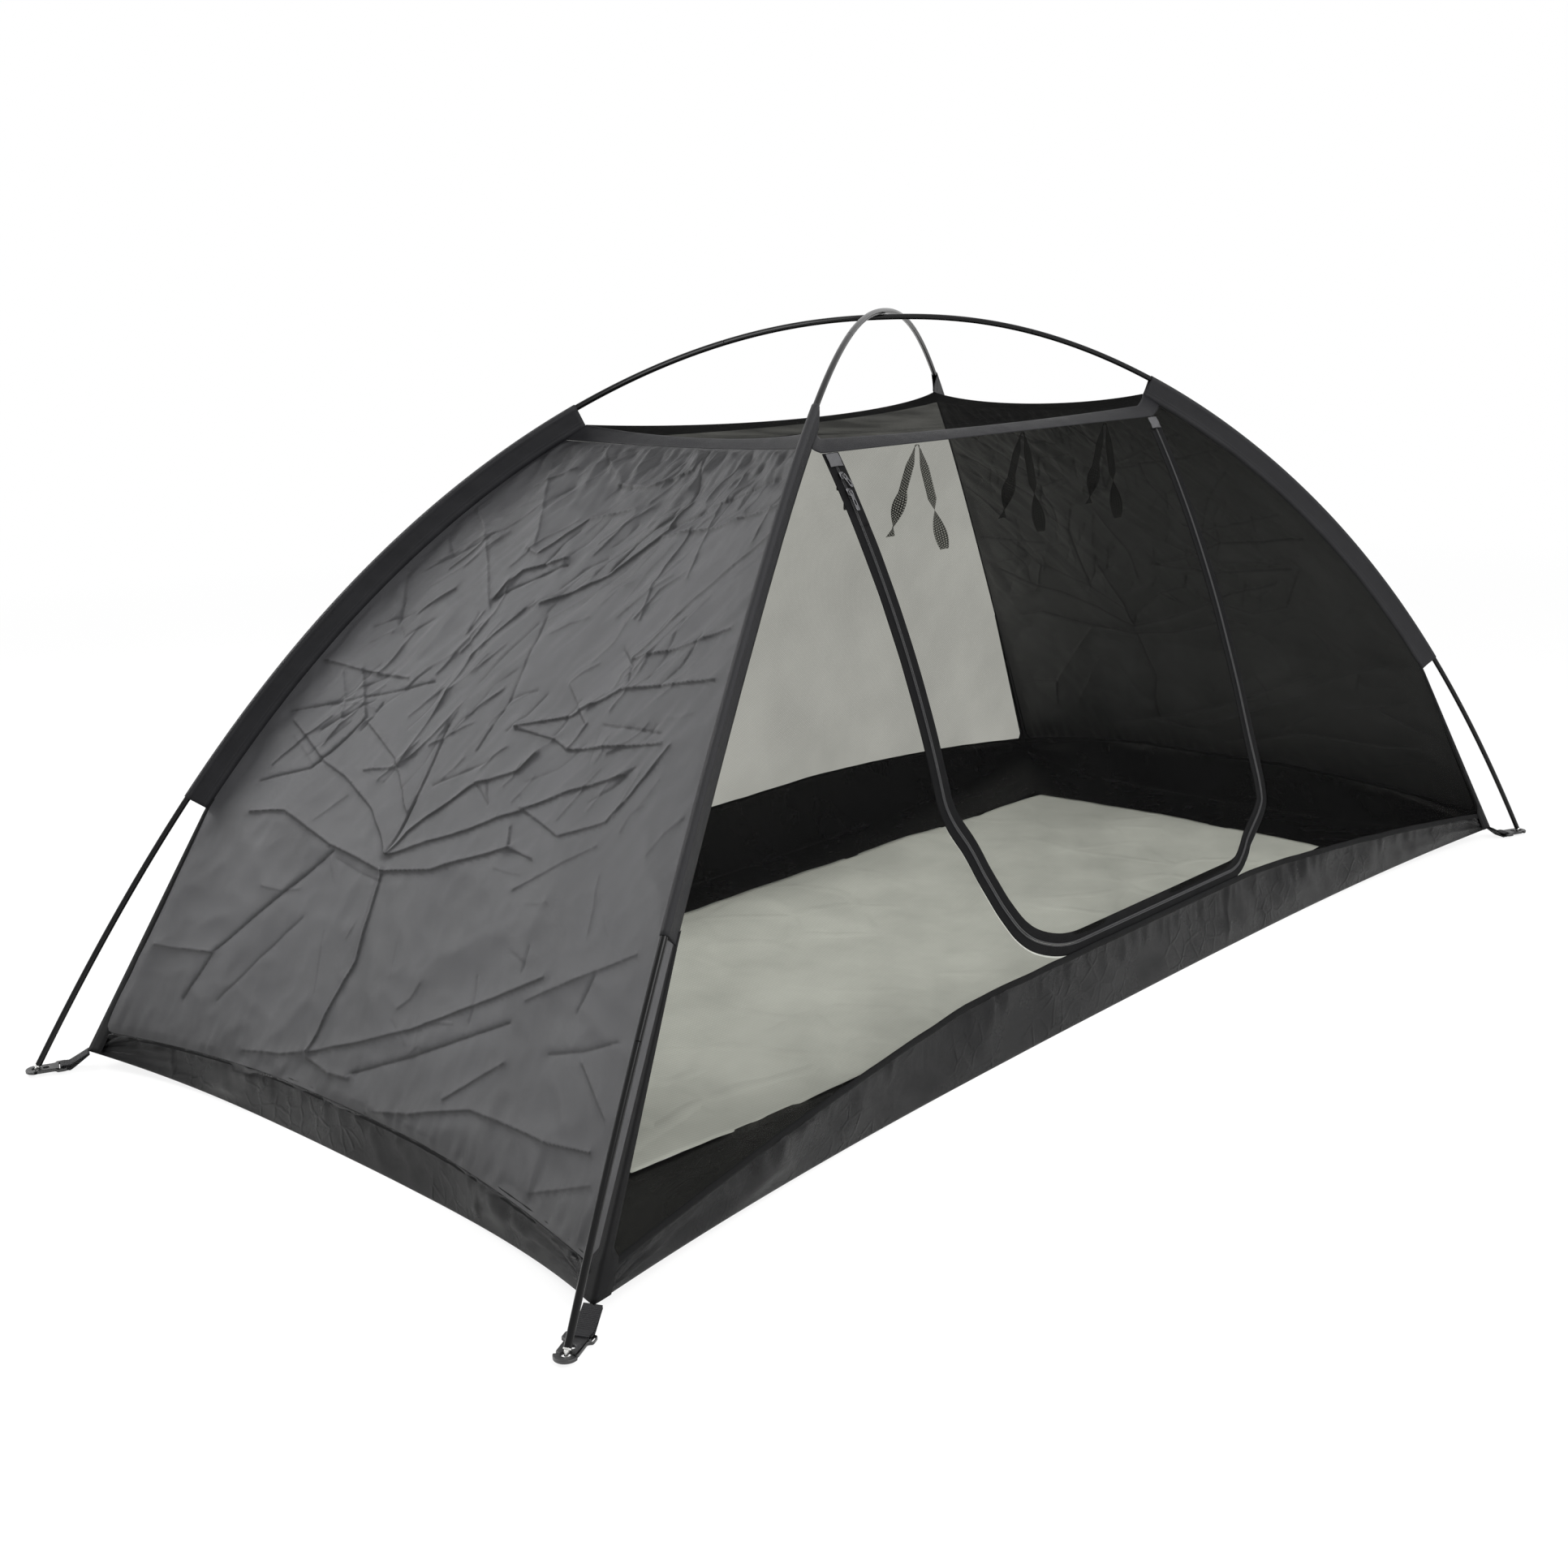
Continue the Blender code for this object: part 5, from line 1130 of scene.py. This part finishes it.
# Seam tapes: walls and nets are sewn to the bands under a folded black tape, 10 mm wide, outside on
# the nets and inside on the end walls.
seam_tape = woven("polyester_seam_tape", "#080809", 0.0009, 0.60, 0.08, 20.0)
tape_profile = ((-0.0045, 0.0012), (-0.00225, 0.0018), (0.00225, 0.0018), (0.0045, 0.0012))
for wall in wall_legs:
    netted = wall in ("front", "rear")
    face = wall_outward[wall] * (1 if netted else -1)
    sections = []
    for share in np.linspace(0.002, 0.998, 321):
        line = Vector(band_point(wall, share, 1.0))
        higher = line.z + 0.01
        higher = front_point(line.x, higher) if wall == "front" else wall_point(wall, share, higher)
        above = (higher - line).normalized()
        waver = 0.0008 * noise.noise(Vector((share * 40, 1.0, len(wall))))
        sections.append([line + above * (x + waver) + face * z for x, z in tape_profile])
    hem = skin(f"seam_tape_{wall}", sections, outward=face)
    thicken(hem, 0.0004)
    finish_piece(hem, seam_tape, "tent", slot="webbing")

# Groundsheet: pale coated polyester, laid inside the bands, with the light wrinkles of a sheet
# that has been folded and spread out again.
pale_sheet = woven("coated_groundsheet", "#E6E8E4", 0.0012, 0.62, 0.30, 5.0, crinkle=(9.0, 0.0020))
grid = []
for t in np.linspace(0, 1, 61):
    row = []
    for s in np.linspace(0, 1, 151):
        point = floor_edge("front", s, 0.004).lerp(floor_edge("rear", 1 - s, 0.004), t)
        point.x += (0.020 * hump(t) + 0.004) * (2 * s - 1)
        row.append(point)
    grid.append(row)
grid = np.array(grid)
waves = 0.0030 * noise_over(grid[:, :, 0], grid[:, :, 1], 6.0, 5.0)
waves += 0.0022 * (0.3 - np.abs(noise_over(grid[:, :, 0], grid[:, :, 1], 15.0, 9.0)))
grid[:, :, 2] = 0.0034 + np.clip(waves, -0.0014, 0.006)
groundsheet = skin("groundsheet_cloth", grid, flat=grid[:, :, :2], outward=Z)
thicken(groundsheet, 0.0004)
finish_piece(groundsheet, pale_sheet, "tent", "groundsheet", slot="floor_fabric")

# Edge bindings: folded taffeta tape over the seams below the sleeves, down to the body's corners,
# wider at the foot where a patch takes the pull of the webbing.
binding_cloth = woven("polyester_binding_tape", "#0A0A0B", 0.0009, 0.55, 0.10, 20.0,
                      stitches=((0.0030, 0.0030),))
for leg in legs:
    low, high = body_corner_height + 0.001, float(seam_lines[leg][1][2])
    top = high + 0.012
    sections = []
    for height in np.linspace(low, top, 60):
        seam = seam_at(leg, height)
        ways = []
        for wall, pair in wall_legs.items():
            if leg in pair:
                run = seam_at(pair[1] if pair[0] == leg else pair[0], height) - seam
                slope = 4 * wall_bow[wall] / run.length if wall != "front" else 0.02
                way = (run.normalized() - wall_outward[wall] * slope).normalized()
                ways.append((way, wall_outward[wall]))
        patch = 1 - float(smooth_step(height, 0.050, 0.064))
        reach = 0.0030 + 0.0085 * min((top - height) / (high - low), 1.0) + 0.011 * patch
        edge = (ways[0][1] + ways[1][1]).normalized()
        pucker = 0.0004 * noise.noise(Vector((height * 120, 0, 3)))
        wings = [[seam + way * (reach * share) + out * rise
                  for share, rise in ((1, 0.0006), (0.6, 0.0013 + bend), (0.25, 0.0018))]
                 for (way, out), bend in zip(ways, (pucker, -pucker))]
        sections.append(wings[0] + [seam + edge * 0.0026] + wings[1][::-1])
    binding = skin(f"edge_binding_{leg}", sections, outward=edge)
    thicken(binding, 0.0004)
    finish_piece(binding, binding_cloth, "tent", slot="webbing")

# Zip: a coil zip in a U round the door. Each side is a woven tape with half of the nylon coil sewn
# along its edge; the tape of the door side stops below the sliders and goes on above as the head.
tape_cloth = woven("woven_zip_tape", "#080809", 0.0009, 0.60, 0.06, 30.0,
                   stitches=((0.0030, 0.0028), (0.0095, 0.0028)))
coil_pitch, coil_radius, coil_centre = 0.0018, 0.0012, 0.0013
coil_nylon, tree = new_material("nylon_zip_coil")
split = add_node(tree, "SeparateXYZ", {"Vector": add_node(tree, "UVMap", uv_map="cloth")}).outputs
turns = add_node(tree, "Math", {0: split[1], 1: 2 * math.pi / coil_pitch}, operation="MULTIPLY")
turns = add_node(tree, "Math", {0: turns}, operation="SINE")
shade = add_node(tree, "MapRange", {"From Min": -1.0, "From Max": 1.0, "To Min": 0.25, "To Max": 1.2,
                                    "Value": turns})
tint = add_node(tree, "VectorMath", {0: linear("#232325")[:3], "Scale": shade}, operation="SCALE")
bump = add_node(tree, "Bump", {"Strength": 0.9, "Distance": 0.0006, "Height": turns})
nylon = add_node(tree, "BsdfPrincipled", {"Roughness": 0.34, "IOR": 1.53, "Base Color": tint, "Normal": bump})
add_node(tree, "OutputMaterial", {"Surface": nylon})
zip_tape_courses = (0.0010, 0.0035, 0.0065, 0.0095, 0.0125, zip_half_width)


def zip_line(left_top, right_top):
    """Stations of the U from the left head to the right head."""
    sides = []
    for side, top in (("left", left_top), ("right", right_top)):
        corner_up = up_bottom + zip_corner_radii[side]
        straight = max(int((top - corner_up) / 0.006), 2)
        parts = [straight_share * step / straight for step in range(straight)]
        parts += [straight_share + (1 - straight_share) * step / 60 for step in range(61)]
        sides.append([zip_station(side, part, top) for part in parts])
    left, right = sides
    start, gap = left[-1][0], right[-1][0] - left[-1][0]
    bottom = [(start + gap * step / 30, up_bottom, 0.0, -1.0) for step in range(1, 30)]
    return left + bottom + right[::-1]


def zip_pieces(name, stations, side, body, node):
    """One tape and its half of the coil; side 1 is the tent's, -1 the door's."""
    tape, coil = [], []
    for index, station in enumerate(stations):
        row = []
        for away in zip_tape_courses:
            flutter = 0.0005 * noise.noise(Vector((index * 0.11, away * 80, side))) * (away / zip_half_width)
            row.append(door_surface(*zip_offset(station, side * away), flutter))
        tape.append(row)
        row = []
        for angle in map(math.radians, range(0, 360, 36)):
            beside = zip_offset(station, side * (coil_centre + coil_radius * math.cos(angle)))
            row.append(door_surface(*beside, 0.00125 * math.sin(angle)))
        coil.append(row)
    ribbon = skin(f"{name}_tape", tape, outward=(0, -1, 0))
    thicken(ribbon, 0.0006, 0)
    finish_piece(ribbon, tape_cloth, body, node, slot="zip_tape")
    finish_piece(skin(f"{name}_coil", coil, wrap=True, capped=True), coil_nylon, body, slot="zip_tape")


tape_top, head_low = up_top - 2 * seam_gap, up_top - 0.100
head_line = [(door_edges["left"], tape_top + (head_low - tape_top) * step / 16, -1.0, 0.0)
             for step in range(17)]
zip_pieces("zip_tent", zip_line(tape_top, tape_top), 1, "tent", "zip_tent_side")
zip_pieces("zip_door", zip_line(head_low - 0.0002, up_top - 0.0202), -1, "door", "zip_door_side")
zip_pieces("zip_head", head_line, -1, "tent", "zip_door_head")

# Garages: small grey satin tabs folded over the two ends of the zip.
satin = woven("satin_tab", "#3C3C3E", 0.0007, 0.36, 0.30, 40.0)
tab_width, tab_length = 0.023, 0.0175
for side, middle in (("left", door_edges["left"]), ("right", zip_path("right", 0.0, up_top)[0])):
    sections = []
    for part in np.linspace(0, 1, 15):
        row = []
        for x in np.linspace(-1, 1, 13):
            rise = 0.0020 + 0.0006 * (1 - x * x) + 0.0003 * math.sin(9 * part + 4 * x)
            row.append(door_surface(middle + x * tab_width / 2, up_top - 0.0025 - tab_length * part, rise))
        sections.append(row)
    tab = skin(f"zip_garage_{side}_tab", sections, outward=(0, -1, 0))
    thicken(tab, 0.0005)
    finish_piece(tab, satin, "tent", f"zip_garage_{side}", slot="wall_fabric")

# Sliders and pulls: die-cast zinc, black nickel plated and worn bright at the edges. Each slider has
# a bail on both faces, and a flat pull with an oval hole hangs from each.
plated = grained("plated_die_cast_zinc", "#626264", 1800.0, 3.0, (0.20, 0.40), (0.12, 0.00005), Metallic=1.0)
slider_drops = {"upper": 0.033, "lower": 0.055}
slider_channel, slider_plate, bail_height = 0.0036, 0.0012, 0.0038
bail_axis = slider_channel / 2 + slider_plate + bail_height / 2
slider_outline = rounded([(-0.0042, 0.0050), (-0.0034, -0.0050), (0.0034, -0.0050), (0.0042, 0.0050)], 0.0022)
pull_lengths = {"upper_outer": 0.0185, "lower_outer": 0.026, "upper_inner": 0.0145, "lower_inner": 0.0185}


def slider_frame(drop):
    """X across, Y up along the arc, Z outwards, at a drop below the door's head."""
    angle = (up_top - drop) / arc_radius
    outwards = Vector((0, -math.cos(angle), math.sin(angle)))
    turn = Matrix((X, outwards.cross(X), outwards)).transposed().to_4x4()
    return Matrix.Translation(door_surface(door_edges["left"], up_top - drop)) @ turn


for name, drop in slider_drops.items():
    seat = slider_frame(drop)
    shells = []
    for face in (1, -1):
        plate = flat_plate("slider_plate", [slider_outline], slider_plate, 0.0003)
        plate.data.transform(Matrix.Translation((0, 0, face * (slider_channel + slider_plate) / 2)))
        bpy.ops.mesh.primitive_torus_add(major_radius=0.0018, minor_radius=0.0005, major_segments=28,
                                         minor_segments=10, location=(0, 0, 0))
        bail = bpy.context.object
        bail_turn = Matrix.Rotation(math.pi / 2, 4, "Y")
        bail.data.transform(Matrix.Translation((0, 0, face * bail_axis)) @ bail_turn)
        shells += [plate, bail]
    bpy.ops.mesh.primitive_cube_add(size=1, location=(0, 0, 0))
    web = bpy.context.object
    web.data.transform(Matrix.Translation((0, 0.0036, 0)) @ Matrix.Diagonal((0.0005, 0.0022, 0.0042, 1)))
    choose(*shells, web)
    bpy.ops.object.join()
    slider = bpy.context.object
    slider.name = f"zip_slider_{name}_cast"
    slider.data.transform(seat)
    bpy.ops.object.shade_smooth_by_angle(angle=math.radians(40))
    finish_piece(slider, plated, f"slider_{name}", f"zip_slider_{name}", slot="slider_metal")

    outer_turn = Matrix.Rotation(math.radians(24.0) if name == "upper" else 0.0, 4, "Z")
    inner_turn = Matrix((X, -Z, (0, 1, 0))).to_4x4()
    for which, where in (("outer", seat @ Matrix.Translation(Z * bail_axis) @ outer_turn),
                         ("inner", Matrix.Translation(seat @ (Z * -bail_axis)) @ inner_turn)):
        long = pull_lengths[f"{name}_{which}"]
        edge = [(0.0032, 0.0005), (0.0032, -0.0050), (0.0027, -0.0075), (0.0032, 0.002 - long),
                (0.0026, -long)]
        outline = rounded(edge + [(-x, y) for x, y in edge[::-1]], 0.0012)
        window = oblong(0.0, 0.0018, -0.0005, -0.0045, 0.0008)
        middle = (-0.0045 - long) / 2
        hole = oblong(0.0, 0.0015, middle - 0.0035, middle + 0.0035, 0.0014)
        pull = flat_plate(f"zip_pull_{name}_{which}_cast", [outline, window, hole], 0.0012, 0.0002)
        pull.data.transform(where)
        finish_piece(pull, plated, f"pull_{name}_{which}", f"zip_pull_{name}_{which}", slot="slider_metal")

# Tie tapes: ribbons of doubled net, 18 mm, each stitched at its middle under the door's head, with
# two tails that hang and turn once. They hold the rolled-up door.
ribbon_net = netting("doubled_net_ribbon", 0.0030, 0.97, 0.45, "#161616")
tie_places, tie_leans = (-0.175, 0.055, 0.258), (0.051, 0.041, 0.034)
tie_tails, tail_steps = {-1: 0.112, 1: 0.140}, 40
for index, (across, lean) in enumerate(zip(tie_places, tie_leans)):
    stitch = door_surface(across, up_top) + Vector((0, 0.002, -0.0025))
    tails = {}
    for sign, drop in tie_tails.items():
        tails[sign] = []
        for part in ((step + 1) / tail_steps for step in range(tail_steps)):
            wide = 0.002 + 0.007 * float(smooth_step(part, 0.0, 0.22))
            angle = math.pi * max(2 * part - 1, 0.0) * sign
            centre = stitch + Vector((sign * (0.005 + lean * part), 0, -0.004 - (drop - 0.004) * part))
            tails[sign].append((centre, Vector((math.cos(angle), math.sin(angle), 0)) * wide))
    sewn = [(stitch + Vector((x, 0, z)), Vector((wide, 0.002, 0)))
            for x, z, wide in ((-0.003, -0.001, 0.0005), (0, 0, 0), (0.003, -0.001, 0.0005))]
    sections = [[centre + half * x + Vector((0, 0.0004 * math.cos(x * 3), 0)) for x in (-1, -0.5, 0, 0.5, 1)]
                for centre, half in tails[-1][::-1] + sewn + tails[1]]
    tie = skin(f"tie_tape_{index + 1}_ribbon", sections)
    finish_piece(tie, ribbon_net, f"tie_{index + 1}", f"tie_tape_{index + 1}", slot="net")
